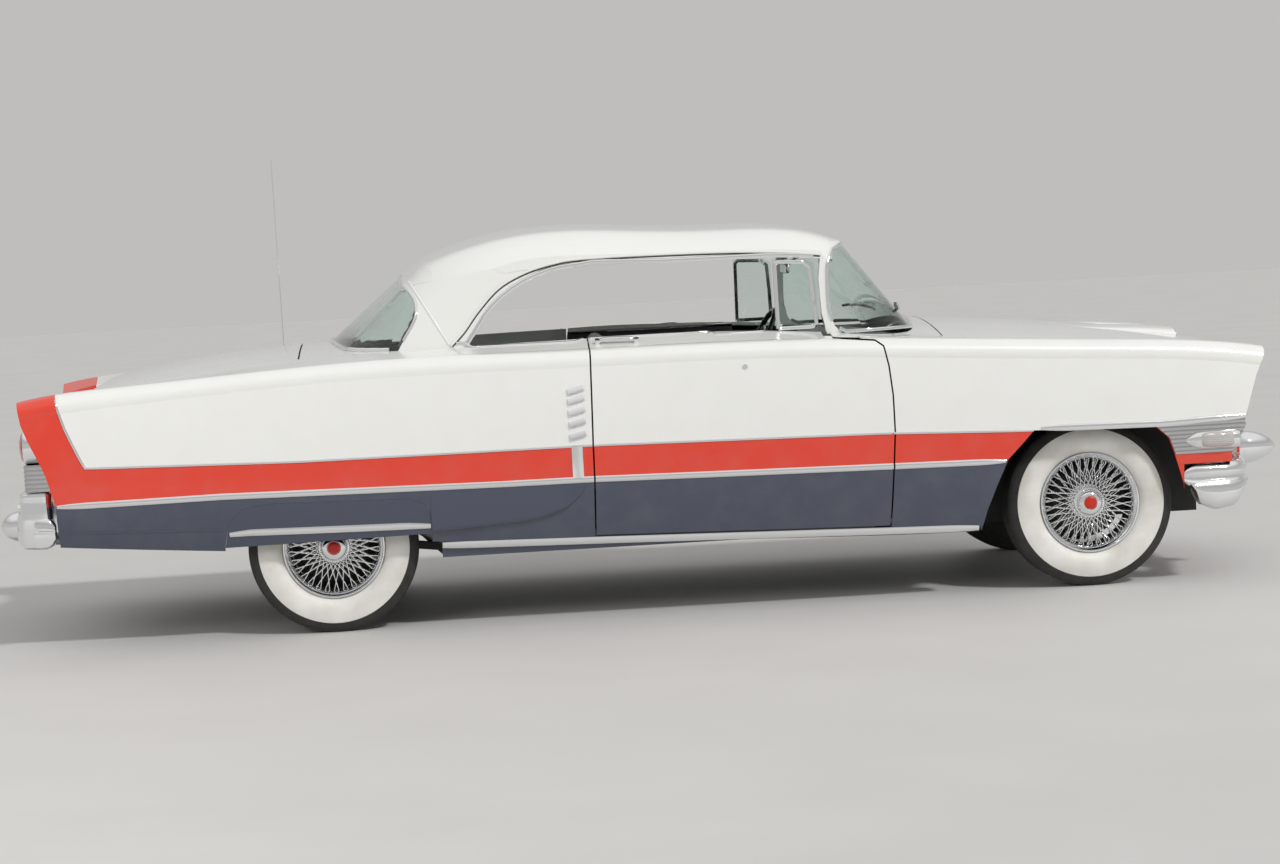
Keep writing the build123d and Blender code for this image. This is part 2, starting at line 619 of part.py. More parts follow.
write("roof", joined(roof, pillar_band & a_pillar_zone, pillar_band & c_pillar_zone))

glass_band = less(cabin, cabin_solid(GLASS), above_lining, roof)
write("windshield_glass", glass_band & windshield_zone)
write("backlight_glass", glass_band & backlight_zone)


# Frame, floor and engine bay

RAIL_OUTER_Y = RAIL_Y + RAIL_WIDTH / 2
member_half = CROSSMEMBER_DEPTH / 2
frame_parts = [box(x - width / 2, x + width / 2, -RAIL_Y, RAIL_Y, z - member_half,
                   z + member_half) for x, width, z in CROSSMEMBERS]
for side in (-1, 1):
    frame_parts.append(plate_run(RAIL_LINE, RAIL_DEPTH, side * (RAIL_Y - RAIL_WIDTH / 2),
                                 side * RAIL_OUTER_Y))
    frame_parts.append(box(FRONT_AXLE_X - 40, FRONT_AXLE_X + 40, side * 400,
                           side * RAIL_OUTER_Y, 350, KINGPIN_HEAD_Z + ARM_SHEET + 10))
    frame_parts.append(box(FRONT_AXLE_X - 60, FRONT_AXLE_X + 60, side * 380,
                           side * RAIL_OUTER_Y, KINGPIN_FOOT_Z - ARM_SHEET, 300))
    root, eye = side * (RAIL_OUTER_Y - 5), side * (KINGPIN_Y + KINGPIN_RADIUS)
    arm_plan = ((FRONT_AXLE_X - 70, root), (FRONT_AXLE_X - 18, eye), (FRONT_AXLE_X + 18, eye),
                (FRONT_AXLE_X + 70, root))
    for z in (KINGPIN_FOOT_Z - SEAT_FIT - ARM_SHEET, KINGPIN_HEAD_Z + SEAT_FIT):
        frame_parts.append(plan_prism(arm_plan, z, z + ARM_SHEET))
write("chassis_frame", joined(*frame_parts))

floor_line = ((firewall_rear - 4, 540), (1040, floor_top - SHEET / 2)) + FLOOR_LINE
floor = plate_run(floor_line, SHEET, -SILL_BOX_Y[0], SILL_BOX_Y[0])
floor_adds, floor_cuts = [], []
for x0, x1, half, top in TUNNELS:
    floor_adds.append(box(x0, x1, -half - SHEET, half + SHEET, floor_top - SHEET, top + SHEET))
    floor_cuts.append(box(x0 - 20, x1 + 20, -half, half, 200, top))
for side in (-1, 1):
    inner = side * WELL_INNER_Y
    floor_adds.append(cross_rod(REAR_AXLE_X, HUB_Z, inner, side * 880, WELL_RADIUS))
    floor_cuts.append(cross_rod(REAR_AXLE_X, HUB_Z, side * (WELL_INNER_Y + SHEET), side * 890,
                                WELL_RADIUS - SHEET))
    floor_cuts.append(box(REAR_AXLE_X - 430, REAR_AXLE_X + 430, side * 610, side * 900, -100,
                          WELL_FOOT_Z))
    floor_cuts.append(box(-3000, REAR_AXLE_X, side * 700, side * 1000, 300, 560))
    floor_cuts.append(box(pillar_x - SEAM, 1200, side * (pillar_y0 - SEAM), side * 900,
                          floor_top, 700))
write("floor_pan", less(joined(floor, *floor_adds), *floor_cuts))

apron_parts = []
for side in (-1, 1):
    plate = box(FIREWALL_X + SEAM, 2420, side * APRON_Y, side * (APRON_Y + SHEET), 350, 930)
    arm_window = box(FRONT_AXLE_X - 90, FRONT_AXLE_X + 90, side * 440, side * 480, 340, 560)
    apron_parts.append(less(plate, arm_window))
    apron_parts.append(box(FIREWALL_X + SEAM, 2420, side * APRON_Y, side * 800, 930, 936))
support = less(box(2400, 2420, -464, 464, 380, 930), box(2300, 2500, -340, 340, 430, 880))
radiator = box(2385, 2400, -350, 350, 420, 890)
write("inner_fenders", joined(support, radiator, *apron_parts))

engine = joined(
    side_prism(((1300, 420), (1420, 380), (2040, 380), (2080, 520), (2080, 820),
                (1300, 860)), -290, 290),
    box(1560, 1840, -170, 170, 840, 960), box(880, 1310, -150, 150, GEARBOX_FOOT_Z, 560),
    box(1200, 1320, -240, 240, 380, 600),
    box(FRONT_AXLE_X - 30, FRONT_AXLE_X + 30, -250, 250, ENGINE_FOOT_Z, 420))
write("engine_block", engine)

axle_parts = [
    cross_rod(REAR_AXLE_X, HUB_Z, 10 - WELL_INNER_Y, WELL_INNER_Y - 10, AXLE_TUBE_RADIUS),
    cross_rod(REAR_AXLE_X, HUB_Z, -WHEEL_Y, WHEEL_Y, SPINDLE_RADIUS),
    Pos(REAR_AXLE_X, 0, HUB_Z) * Sphere(135),
    rod((REAR_AXLE_X + 80, 0, HUB_Z), (877, 0, 430), 36),
]
for side in (-1, 1):
    axle_parts.append(plate_run(((-900, 300), (REAR_AXLE_X, HUB_Z)), 34,
                                side * (RAIL_OUTER_Y + SEAT_FIT), side * (RAIL_OUTER_Y + 28)))
write("rear_axle", joined(*axle_parts))

exhausts = []
for side in (-1, 1):
    points = [(x, side * y, z) for x, y, z in EXHAUST_LINE]
    path = FilletPolyline(*points, radius=90)
    pipe = sweep(Plane(origin=points[0], z_dir=path % 0) * Circle(26), path=path)
    pipe_y, pipe_z = points[0][1:]
    silencer = rod((250, pipe_y, pipe_z), (-350, pipe_y, pipe_z), SILENCER_RADIUS)
    hanger = box(-80, -40, side * (RAIL_OUTER_Y + SEAT_FIT), pipe_y, pipe_z - 8, pipe_z + 8)
    exhausts.append(joined(pipe, silencer, hanger))
write("exhaust_pipes", *exhausts)
tank_top = RAIL_LINE[-1][1] + RAIL_DEPTH / 2 - SEAT_FIT
write("fuel_tank", box(-2350, -1930, -350, 350, TANK_FOOT_Z, tank_top))


# Wheels and steering

bore = SPINDLE_RADIUS + PIN_FIT
half_tyre = TYRE_WIDTH / 2
seat_radius = RIM_RADIUS + SEAT_FIT
tyre_half = ((0.64, seat_radius), (0.66, RIM_RADIUS + 19), (0.98, RIM_RADIUS + 38),
             (1.0, 272), (0.93, 318), (0.76, 350), (0.5, TYRE_RADIUS))
tyre_profile = ([(-half_tyre * share, radius) for share, radius in tyre_half]
                + [(half_tyre * share, radius) for share, radius in reversed(tyre_half)])
rim_profile = ((-72, RIM_RADIUS), (72, RIM_RADIUS), (80, RIM_RADIUS + 14),
               (86, RIM_RADIUS + 8), (80, RIM_RADIUS - 6), (60, RIM_RADIUS - 22),
               (-60, RIM_RADIUS - 14), (-80, RIM_RADIUS - 4), (-86, RIM_RADIUS + 8),
               (-80, RIM_RADIUS + 14))
hub_profile = ((-60, bore), (30, bore), (30, 0), (98, 0), (100, 20), (88, 52), (70, 66),
               (34, 72), (20, 150), (-58, 150), (-60, 140))
spoke_profile = ((30, 60), (62, 60), (54, RIM_RADIUS - 15), (44, RIM_RADIUS - 15))
tyre = turned(tyre_profile)
wheel = joined(turned(rim_profile), turned(hub_profile), turned(spoke_profile))
for end, x in (("front", FRONT_AXLE_X), ("rear", REAR_AXLE_X)):
    place = Pos(x, WHEEL_Y, HUB_Z)
    write_pair(f"tyre_{end}", place * tyre)
    write_pair(f"wheel_{end}", place * wheel)

knuckle = joined(
    rod((FRONT_AXLE_X, KINGPIN_Y, KINGPIN_FOOT_Z), (FRONT_AXLE_X, KINGPIN_Y, KINGPIN_HEAD_Z),
        KINGPIN_RADIUS),
    cross_rod(FRONT_AXLE_X, HUB_Z, KINGPIN_Y, WHEEL_Y + 20, SPINDLE_RADIUS),
    cross_rod(FRONT_AXLE_X, HUB_Z, KINGPIN_Y - 10, KINGPIN_Y + 30, 60))
write_pair("steering_knuckle", knuckle)


# Cabin

wheel_centre, column_foot = Vector(*STEERING_CENTRE), Vector(*COLUMN_FOOT)
column_axis = (column_foot - wheel_centre).normalized()
rim_plane = Plane(origin=wheel_centre, z_dir=column_axis)
steering_parts = [rim_plane * Torus(205, 13), rim_plane * (Pos(0, 0, 14) * Cylinder(46, 44))]
for turn in (0, 120, 240):
    steering_parts.append(rim_plane * (Rot(0, 0, turn) * (Pos(102, 0, 4) * Box(200, 22, 12))))
write("steering_wheel", joined(*steering_parts))
write("steering_column", rod(wheel_centre + column_axis * (36 + SEAT_FIT), column_foot, 26))

dash = side_prism(DASH_OUTLINE, -DASH_HALF_WIDTH, DASH_HALF_WIDTH)
write("dashboard", less(dash, rod(wheel_centre, column_foot + column_axis * 40, 26 + SEAM)))

tunnel_x0, tunnel_x1, tunnel_y, tunnel_z = TUNNELS[0]
over_tunnel = box(tunnel_x0, tunnel_x1, -tunnel_y - SHEET - SEAM, tunnel_y + SHEET + SEAM, 300,
                  tunnel_z + SHEET + SEAM)
front_seat = joined(side_prism(FRONT_SEAT_BASE, -FRONT_SEAT_HALF, FRONT_SEAT_HALF),
                    side_prism(FRONT_SEAT_BACK, -FRONT_SEAT_HALF, FRONT_SEAT_HALF))
write("front_seat", less(front_seat, over_tunnel))
rear_seat = joined(side_prism(REAR_SEAT_BASE, -REAR_SEAT_HALF, REAR_SEAT_HALF),
                   side_prism(REAR_SEAT_BACK, -REAR_SEAT_HALF, REAR_SEAT_HALF))
write("rear_seat", less(rear_seat, over_tunnel))


# Bumpers, grille and lamps

def bar(outer_half, inner_half, heights):
    """A bumper blade between two plan lines."""
    plan = both_sides(outer_half) + tuple(reversed(both_sides(inner_half)))
    return plan_prism(plan, *heights)


def cone(x0, x1, x2, y, z, r0, r1):
    """A blunt bumper cone that points along X."""
    profile = Wire([Line((x0, 0, z), (x0, 0, z + r0)),
                    Line((x0, 0, z + r0), (x1, 0, z + r0)),
                    ThreePointArc((x1, 0, z + r0), ((x1 + x2) / 2, 0, z + (r0 + r1) * 0.56),
                                  (x2, 0, z + r1)),
                    Line((x2, 0, z + r1), (x2, 0, z)), Line((x2, 0, z), (x0, 0, z))])
    return Pos(0, y, 0) * Solid.revolve(Face(profile), 360, Axis((x0, 0, z), (1, 0, 0)))


front_parts, rear_parts, rear_brackets = [], [], []
for side in (-1, 1):
    bracket_y = (side * BRACKET_Y[0], side * BRACKET_Y[1])
    front_parts.append(cone(2580, 2655, 2779, side * CONE_Y, 530, 72, 18))
    front_parts.append(side_prism(FRONT_LOBE, side * 880, side * 940))
    front_parts.append(box(RAIL_LINE[0][0] + SEAT_FIT, 2600, *bracket_y, 320, 350))
    front_parts.append(box(2560, 2600, *bracket_y, 320, 420))
    rear_parts.append(cone(-2640, -2702, -2779, side * CONE_Y, 496, 62, 18))
    rear_parts.append(side_prism(REAR_POD, side * 740, side * 925))
    rear_brackets.append(box(-2680, RAIL_LINE[-1][0] - SEAT_FIT, *bracket_y, 445, 485))
write("front_bumper", joined(bar(FRONT_BAR_OUTER, FRONT_BAR_INNER, FRONT_BAR_Z), *front_parts))
rear_bar = joined(bar(REAR_BAR_OUTER, REAR_BAR_INNER, REAR_BAR_Z), *rear_parts)
write("rear_bumper", joined(less(rear_bar, around_body), *rear_brackets))

grille_parts = []
for row in range(6):
    z = mouth_low + 18 + row * 40
    grille_parts.append(box(2426, 2444, -mouth_y, mouth_y, z - 6, z + 6))
for step in range(-10, 11):
    y = step * 60
    grille_parts.append(box(2428, 2440, y - 4, y + 4, mouth_low, mouth_high))
ring = less(box(2420, 2448, -mouth_y - 20, mouth_y + 20, mouth_low - 25, mouth_high + 25),
            box(2400, 2500, 20 - mouth_y, mouth_y - 20, mouth_low + 5, mouth_high - 5))
write("grille", joined(ring, *grille_parts))

lamp = rod((2430, lamp_y, lamp_z), (2570, lamp_y, lamp_z), HEADLAMP_RADIUS)
write("headlamps", lamp, mirrored(lamp))

tail_lamp = less(side_prism(TAIL_LAMP, 800, 905), around_body)
write("tail_lamps", tail_lamp, mirrored(tail_lamp))

antenna_x, antenna_y = ANTENNA
antenna = joined(rod((antenna_x, antenna_y, 1100), (ANTENNA_TOP[0], antenna_y, ANTENNA_TOP[1]), 3),
                 rod((antenna_x, antenna_y, 1100), (antenna_x, antenna_y, 1146), 12))
write("antenna", less(antenna, around_body))
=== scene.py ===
from math import cos, pi, radians, sin, sqrt, tau

import bpy
from mathutils import Matrix, Vector
from mathutils.bvhtree import BVHTree


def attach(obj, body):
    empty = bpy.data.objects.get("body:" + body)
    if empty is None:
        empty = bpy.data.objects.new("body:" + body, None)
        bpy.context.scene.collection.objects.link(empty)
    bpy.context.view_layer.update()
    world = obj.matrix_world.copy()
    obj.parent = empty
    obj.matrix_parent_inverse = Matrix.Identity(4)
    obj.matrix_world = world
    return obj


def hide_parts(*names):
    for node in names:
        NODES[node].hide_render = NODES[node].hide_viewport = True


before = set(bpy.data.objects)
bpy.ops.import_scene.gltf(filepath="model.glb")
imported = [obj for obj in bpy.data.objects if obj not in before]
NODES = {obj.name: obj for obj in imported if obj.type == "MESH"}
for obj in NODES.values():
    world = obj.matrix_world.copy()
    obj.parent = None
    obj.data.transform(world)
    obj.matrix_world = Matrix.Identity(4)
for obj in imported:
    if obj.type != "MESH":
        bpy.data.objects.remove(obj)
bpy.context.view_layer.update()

SIDES = (("left", 1), ("right", -1))
X_AXIS = Vector((1, 0, 0))
Y_AXIS = Vector((0, 1, 0))
Z_AXIS = Vector((0, 0, 1))

# Places of the CAD parts that the pieces dress, in metres
AXLE_FRONT = Vector((1.866, 0.762, 0.358))
AXLE_REAR = Vector((-1.36, 0.762, 0.358))
STEERING_CENTRE = Vector((0.6, 0.38, 1.04))
STEERING_AXIS = Vector((0.8815, 0, -0.4722))
HEADLAMP = Vector((2.572, 0.792, 0.848))

# Side views of the trim, as (x, z) lines from the tail to the nose
BAND_TOP = ((-2.466, 1.045), (-2.456, 0.997), (-2.433, 0.924), (-2.404, 0.856),
            (-2.375, 0.792), (-2.357, 0.758), (-1.476, 0.737), (-0.256, 0.735),
            (0.278, 0.726), (0.955, 0.715), (1.608, 0.689))
BAND_FOOT = ((-2.484, 0.603), (-1.811, 0.61), (-0.651, 0.595), (-0.259, 0.594),
             (0.269, 0.585), (0.993, 0.574), (1.484, 0.567))
NOSE_STRIP = ((1.643, 0.697), (2.181, 0.688), (2.53, 0.699))
SILL_STRIP = ((-0.905, 0.349), (-0.161, 0.33), (0.941, 0.298), (1.366, 0.287))
SKIRT_LIP = ((-1.784, 0.447), (-1.7, 0.452), (-1.043, 0.441), (-0.95, 0.436))
DRIP_LINE = ((-0.822, 1.176), (-0.765, 1.234), (-0.703, 1.314), (-0.61, 1.407),
             (-0.5, 1.464), (-0.381, 1.497), (-0.264, 1.511), (-0.002, 1.514),
             (0.35, 1.509), (0.597, 1.497), (0.765, 1.478))
PILLAR_SEAM = ((-0.985, 1.452), (-0.925, 1.35), (-0.87, 1.252), (-0.83, 1.18))
FRONT_PLAN = ((2.64, 0.0), (2.636, 0.3), (2.618, 0.56), (2.56, 0.8), (2.5, 0.915),
              (2.39, 0.942), (2.255, 0.947))
DOOR_REAR_X = -0.2575
DOOR_FRONT_X = 1.0065


# Mesh building

class Shape:
    """Vertices and faces that grow into one piece."""

    def __init__(self, verts=(), faces=()):
        self.verts = [Vector(v) for v in verts]
        self.faces = [tuple(face) for face in faces]
        self.finishes = [0] * len(self.faces)

    def join(self, other, finish=None):
        """Adds another shape, with its own finishes or with one for all of it."""
        start = len(self.verts)
        self.verts += other.verts
        self.faces += [tuple(start + i for i in face) for face in other.faces]
        self.finishes += other.finishes if finish is None else [finish] * len(other.faces)
        return self

    def placed(self, matrix):
        """A copy moved by a matrix."""
        copy = Shape([matrix @ v for v in self.verts], self.faces)
        copy.finishes = list(self.finishes)
        return copy

    def flipped(self):
        """A mirror image for the car's other side."""
        mirror = Matrix.Scale(-1, 4, Y_AXIS)
        copy = self.placed(mirror)
        copy.faces = [tuple(reversed(face)) for face in self.faces]
        return copy


def axes_at(place, x, y, z):
    """The matrix that sets something at a place along three axes."""
    return Matrix.Translation(place) @ Matrix((x, y, z)).transposed().to_4x4()


def make(name, shape, materials, body="body", sharp=40):
    """One piece from a shape, riding on a body."""
    mesh = bpy.data.meshes.new(name)
    mesh.from_pydata([tuple(v) for v in shape.verts], [], shape.faces)
    materials = materials if isinstance(materials, (list, tuple)) else [materials]
    for material in materials:
        mesh.materials.append(material)
    for polygon, finish in zip(mesh.polygons, shape.finishes):
        polygon.material_index = finish
        polygon.use_smooth = True
    mesh.validate()
    mesh.update()
    mesh.set_sharp_from_angle(angle=radians(sharp))
    piece = bpy.data.objects.new(name, mesh)
    bpy.context.scene.collection.objects.link(piece)
    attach(piece, body)
    return piece


def make_pair(name, shape, materials, body="body", sharp=40):
    """A left piece and its mirror image. A {} in the body's name takes the side."""
    pieces = []
    for side, sign in SIDES:
        own = shape if sign > 0 else shape.flipped()
        pieces.append(make(f"{name}_{side}", own, materials, body.format(side), sharp))
    return pieces


def skin(rings, closed=True, ends=True, loop=False):
    """A shape with faces between rings of points."""
    count = len(rings[0])
    verts = [point for ring in rings for point in ring]
    spans = count if closed else count - 1
    faces = []
    for row in range(len(rings) if loop else len(rings) - 1):
        after = (row + 1) % len(rings)
        for i in range(spans):
            j = (i + 1) % count
            faces.append((row * count + i, row * count + j, after * count + j,
                          after * count + i))
    if ends and closed and not loop:
        faces.append(tuple(reversed(range(count))))
        faces.append(tuple((len(rings) - 1) * count + i for i in range(count)))
    return Shape(verts, faces)


def turned(profile, steps, axis="Y", closed=False):
    """An (along, radius) outline turned about an axis."""
    rings = []
    for step in range(steps):
        c, s = cos(tau * step / steps), sin(tau * step / steps)
        if axis == "Y":
            rings.append([Vector((r * s, a, r * c)) for a, r in profile])
        elif axis == "X":
            rings.append([Vector((a, r * c, r * s)) for a, r in profile])
        else:
            rings.append([Vector((r * c, r * s, a)) for a, r in profile])
    return skin(rings, closed=closed, ends=False, loop=True)


def curve(points, per_span):
    """A smooth line through its points."""
    points = [Vector(p) for p in points]
    line = []
    for i in range(len(points) - 1):
        p0 = points[i - 1] if i else points[0] * 2 - points[1]
        p1, p2 = points[i], points[i + 1]
        p3 = points[i + 2] if i + 2 < len(points) else p2 * 2 - p1
        for step in range(per_span):
            t = step / per_span
            line.append(0.5 * (2 * p1 + (p2 - p0) * t + (2 * p0 - 5 * p1 + 4 * p2 - p3) * t * t
                               + (3 * p1 - p0 - 3 * p2 + p3) * t ** 3))
    return line + [points[-1]]


def even(points, step):
    """A line cut into even steps that keeps its corners."""
    line = []
    for a, b in zip(points, points[1:]):
        a, b = Vector(a), Vector(b)
        pieces = max(1, round((b - a).length / step))
        line += [a.lerp(b, i / pieces) for i in range(pieces)]
    return line + [Vector(points[-1])]


def spread(low, high, count):
    """Evenly spaced numbers from low to high."""
    return [low + (high - low) * i / (count - 1) for i in range(count)]


def standing(line):
    """An (x, z) line as points on the car's middle plane."""
    return [Vector((x, 0, z)) for x, z in line]


def value_at(line, x):
    """Height of an (x, z) line at x."""
    for (xa, za), (xb, zb) in zip(line, line[1:]):
        if x <= xb:
            break
    return za + (zb - za) * (x - xa) / (xb - xa)


def swept(path, normals, section, scales=None):
    """A closed cross-section (across, out) carried along a path on a surface."""
    rings = []
    last = len(path) - 1
    for i, (point, normal) in enumerate(zip(path, normals)):
        ahead = (path[min(i + 1, last)] - path[max(i - 1, 0)]).normalized()
        across = normal.cross(ahead).normalized()
        out = ahead.cross(across).normalized()
        size = scales[i] if scales else 1
        rings.append([point + across * u * size + out * v * (size if v > 0 else 1)
                      for u, v in section])
    return skin(rings)


def tube(path, radius, sides=8, up=Z_AXIS):
    """A round bar along a path."""
    section = [(radius * cos(tau * i / sides), radius * sin(tau * i / sides))
               for i in range(sides)]
    path = [Vector(p) for p in path]
    normals = []
    for i in range(len(path)):
        ahead = (path[min(i + 1, len(path) - 1)] - path[max(i - 1, 0)]).normalized()
        side = up if abs(ahead.dot(up)) < 0.95 else X_AXIS
        normals.append((side - ahead * side.dot(ahead)).normalized())
    return swept(path, normals, section)


def bead(width, height):
    """The section of a rounded moulding."""
    half, foot = width / 2, -0.0015
    return ((-half, foot), (-half, height * 0.35), (-half * 0.62, height * 0.85),
            (0, height), (half * 0.62, height * 0.85), (half, height * 0.35), (half, foot))


def block(low, high, bevel):
    """A box with its edges taken off."""
    (x0, y0, z0), (x1, y1, z1) = low, high
    rings = []
    for z, inset in ((z0, bevel), (z0 + bevel * 0.3, bevel * 0.3), (z0 + bevel, 0),
                     (z1 - bevel, 0), (z1 - bevel * 0.3, bevel * 0.3), (z1, bevel)):
        a0, a1, b0, b1 = x0 + inset, x1 - inset, y0 + inset, y1 - inset
        r = bevel
        ring = []
        for cx, cy, start in ((a1 - r, b1 - r, 0), (a0 + r, b1 - r, 1), (a0 + r, b0 + r, 2),
                              (a1 - r, b0 + r, 3)):
            for step in range(4):
                angle = (start + step / 3) * pi / 2
                ring.append((cx + r * cos(angle), cy + r * sin(angle), z))
        rings.append(ring)
    return skin(rings)


# Finding the CAD surfaces

def surface(*nodes):
    """A tree of the named nodes' faces for casting rays at them."""
    verts, faces = [], []
    for node in nodes:
        mesh = NODES[node].data
        start = len(verts)
        verts += [v.co.copy() for v in mesh.vertices]
        faces += [tuple(start + i for i in p.vertices) for p in mesh.polygons]
    return BVHTree.FromPolygons(verts, faces)


LEFT_SIDE = surface("front_fender_left", "door_left", "quarter_panel_left", "rocker_left",
                    "rear_wheel_skirts", "roof", "vent_window_left")
FAR_OUT = 1.6


def at_side(x, z, tree=LEFT_SIDE):
    """Point and normal on the car's left side at (x, z), or beside a gap there."""
    for reach in (0, 0.006, 0.012, 0.02, 0.03, 0.045):
        for dx, dz in ((reach, 0), (-reach, 0), (0, reach), (0, -reach)):
            point, normal, _, _ = tree.ray_cast(Vector((x + dx, FAR_OUT, z + dz)),
                                                -Y_AXIS)
            if point and point.y > 0.3:
                return Vector((x, point.y, z)), normal if normal.y > 0 else -normal
    raise ValueError(f"nothing at the side at {x:.3f}, {z:.3f}")


def lowest_hit(tree, x, z0, z1):
    """Height of a sheet's lower edge at x, between two heights."""
    z = z0
    while z < z1:
        if at_roof(tree, x, z):
            return z
        z += 0.002
    return None


def softened(normals, reach=2):
    """Normals averaged with their neighbours along a line."""
    last = len(normals) - 1
    mean = []
    for i in range(len(normals)):
        near = [normals[min(max(i + k, 0), last)] for k in range(-reach, reach + 1)]
        mean.append(sum(near, Vector()).normalized())
    return mean


def along_side(line, step):
    """An (x, z) line laid on the car's left side."""
    spots = [at_side(p.x, p.z) for p in even(standing(line), step)]
    return [point for point, _ in spots], softened([normal for _, normal in spots])


def trim_line(line, x0, x1):
    """The part of an (x, z) line between two places along the car."""
    inner = [(x, z) for x, z in line if x0 < x < x1]
    first = (x0, value_at(line, x0)) if x0 > line[0][0] else line[0]
    last = (x1, value_at(line, x1)) if x1 < line[-1][0] else line[-1]
    return [p for p in (first, *inner, last)
            if p not in inner or p is not first and p is not last]


def side_strip(line, width, height, tips):
    """A moulding along an (x, z) line on the left side, with tapered tips."""
    path, normals = along_side(line, 0.03)
    scales = [1.0] * len(path)
    for i in range(min(4, len(path) // 2)):
        share = sqrt((i + 0.4) / 4)
        scales[i] = tips[0] + (1 - tips[0]) * share
        scales[-1 - i] = tips[1] + (1 - tips[1]) * share
    return swept(path, normals, bead(width, height), scales)


# Materials

class Graph:
    """Shader nodes and their links."""

    def __init__(self, owner):
        owner.use_nodes = True
        self.nodes = owner.node_tree.nodes
        self.links = owner.node_tree.links

    def node(self, kind, inputs=(), **settings):
        new = self.nodes.new("ShaderNode" + kind)
        for key, value in settings.items():
            setattr(new, key, value)
        for socket, value in dict(inputs).items():
            if hasattr(value, "is_output"):
                self.links.new(value, new.inputs[socket])
            else:
                new.inputs[socket].default_value = value
        return new

    def math(self, operation, a, b=0.0):
        return self.node("Math", {0: a, 1: b}, operation=operation).outputs[0]

    def colour(self, factor, a, b):
        a, b = ((*c, 1) if isinstance(c, tuple) else c for c in (a, b))
        return self.node("Mix", {0: factor, 6: a, 7: b}, data_type="RGBA").outputs[2]


class Finish(Graph):
    """A material's nodes around its main shader."""

    def __init__(self, name, colour, rough, **inputs):
        self.material = bpy.data.materials.new(name)
        super().__init__(self.material)
        self.shader = self.nodes["Principled BSDF"]
        self.shader.inputs["Base Color"].default_value = (*colour, 1)
        self.shader.inputs["Roughness"].default_value = rough
        for key, value in inputs.items():
            self.shader.inputs[key.replace("_", " ")].default_value = value
        self.space = self.nodes.new("ShaderNodeTexCoord").outputs["Object"]

    def noise(self, scale, detail=3, stretch=(1, 1, 1)):
        place = self.node("Mapping", {"Vector": self.space, "Scale": stretch})
        return self.node("TexNoise", {"Vector": place.outputs[0], "Scale": scale,
                                      "Detail": detail}).outputs["Fac"]

    def ranged(self, value, low, high, start=0.0, end=1.0):
        return self.node("MapRange", {"Value": value, "From Min": start, "From Max": end,
                                      "To Min": low, "To Max": high}).outputs["Result"]

    def base(self, value):
        self.links.new(value, self.shader.inputs["Base Color"])

    def rough(self, value):
        self.links.new(value, self.shader.inputs["Roughness"])

    def bump(self, height, strength, distance):
        new = self.node("Bump", {"Height": height, "Strength": strength, "Distance": distance})
        self.links.new(new.outputs[0], self.shader.inputs["Normal"])


WHITE = (0.8, 0.8, 0.77)
RED = (0.7, 0.03, 0.006)
SLATE = (0.04, 0.05, 0.085)
DUST = (0.45, 0.42, 0.38)
# Near-black painted shade for body faces that look inwards or down
BODY_SHADE = (0.02, 0.02, 0.02)
FLANK_Y = 0.82


def paint(name, colour):
    """Glossy body paint with a trace of orange peel and road dust."""
    f = Finish(name, colour, 0.22, Coat_Weight=1.0, Coat_Roughness=0.03)
    f.rough(f.ranged(f.noise(6, 4), 0.17, 0.30))
    f.bump(f.noise(900, 1), 0.04, 0.0002)
    return f


def line_height(f, x, points):
    """A node chain that gives the height of an (x, z) line at x."""
    total = None
    for (xa, za), (xb, zb) in zip(points, points[1:]):
        rise = f.ranged(x, 0, zb - za, xa, xb)
        total = rise if total is None else f.math("ADD", total, rise)
    return f.math("ADD", total, points[0][1])


def body_paint():
    """White above, an orange-red band along the side and slate blue below. Faces that look inwards
    or down get a near-black painted shade."""
    f = paint("paint_three_tone_and_shade", WHITE)
    place = f.node("SeparateXYZ", {"Vector": f.space}).outputs
    facing = f.node("SeparateXYZ", {"Vector": f.node("NewGeometry").outputs["Normal"]}).outputs

    def above(line):
        """How far a place stands above an (x, z) line."""
        return f.math("SUBTRACT", place["Z"], line_height(f, place["X"], line))

    top = above(((-2.48, 1.16),) + BAND_TOP + ((2.7, 0.69),))
    foot = above(BAND_FOOT + ((1.7, 0.56), (1.72, 0.2), (2.7, 0.2)))
    banded = f.colour(f.math("LESS_THAN", top, 0), WHITE, RED)
    toned = f.colour(f.math("LESS_THAN", foot, 0), banded, SLATE)
    dust = f.ranged(f.noise(9, 4), 0.0, 0.05, 0.4, 0.8)

    # Painted shade: faces on the flanks that look inwards, and faces that look down, turn
    # near-black
    outward = f.math("MULTIPLY", facing["Y"], f.math("SIGN", place["Y"]))
    flank = f.math("GREATER_THAN", f.math("ABSOLUTE", place["Y"]), FLANK_Y)
    level = f.math("LESS_THAN", facing["Z"], 0.5)
    inside = f.math("MULTIPLY", f.math("LESS_THAN", outward, -0.15),
                    f.math("MULTIPLY", level, flank))
    shade_mask = f.math("MAXIMUM", inside, f.math("LESS_THAN", facing["Z"], -0.6))
    f.base(f.colour(shade_mask, f.colour(dust, toned, DUST), BODY_SHADE))
    return f.material


def chrome(name="chrome", tint=(0.86, 0.87, 0.88)):
    """Polished chrome plate with faint wiping marks."""
    f = Finish(name, tint, 0.07, Metallic=1.0)
    f.rough(f.ranged(f.noise(30, 4, (1, 1, 3)), 0.03, 0.14))
    f.bump(f.noise(5, 2), 0.05, 0.002)
    return f.material


def glass(name, tint):
    """Clear glass with a faint film of dust."""
    f = Finish(name, tint, 0.0, Transmission_Weight=1.0, IOR=1.45)
    f.rough(f.ranged(f.noise(4, 4), 0.0, 0.05, 0.4, 0.8))
    return f.material


def rubber():
    """Black tyre rubber, greyed by dust."""
    f = Finish("tyre_rubber", (0.02, 0.02, 0.02), 0.75)
    f.base(f.colour(f.noise(25, 5), (0.012, 0.012, 0.013), (0.05, 0.048, 0.045)))
    f.bump(f.noise(400, 3), 0.3, 0.0006)
    return f.material


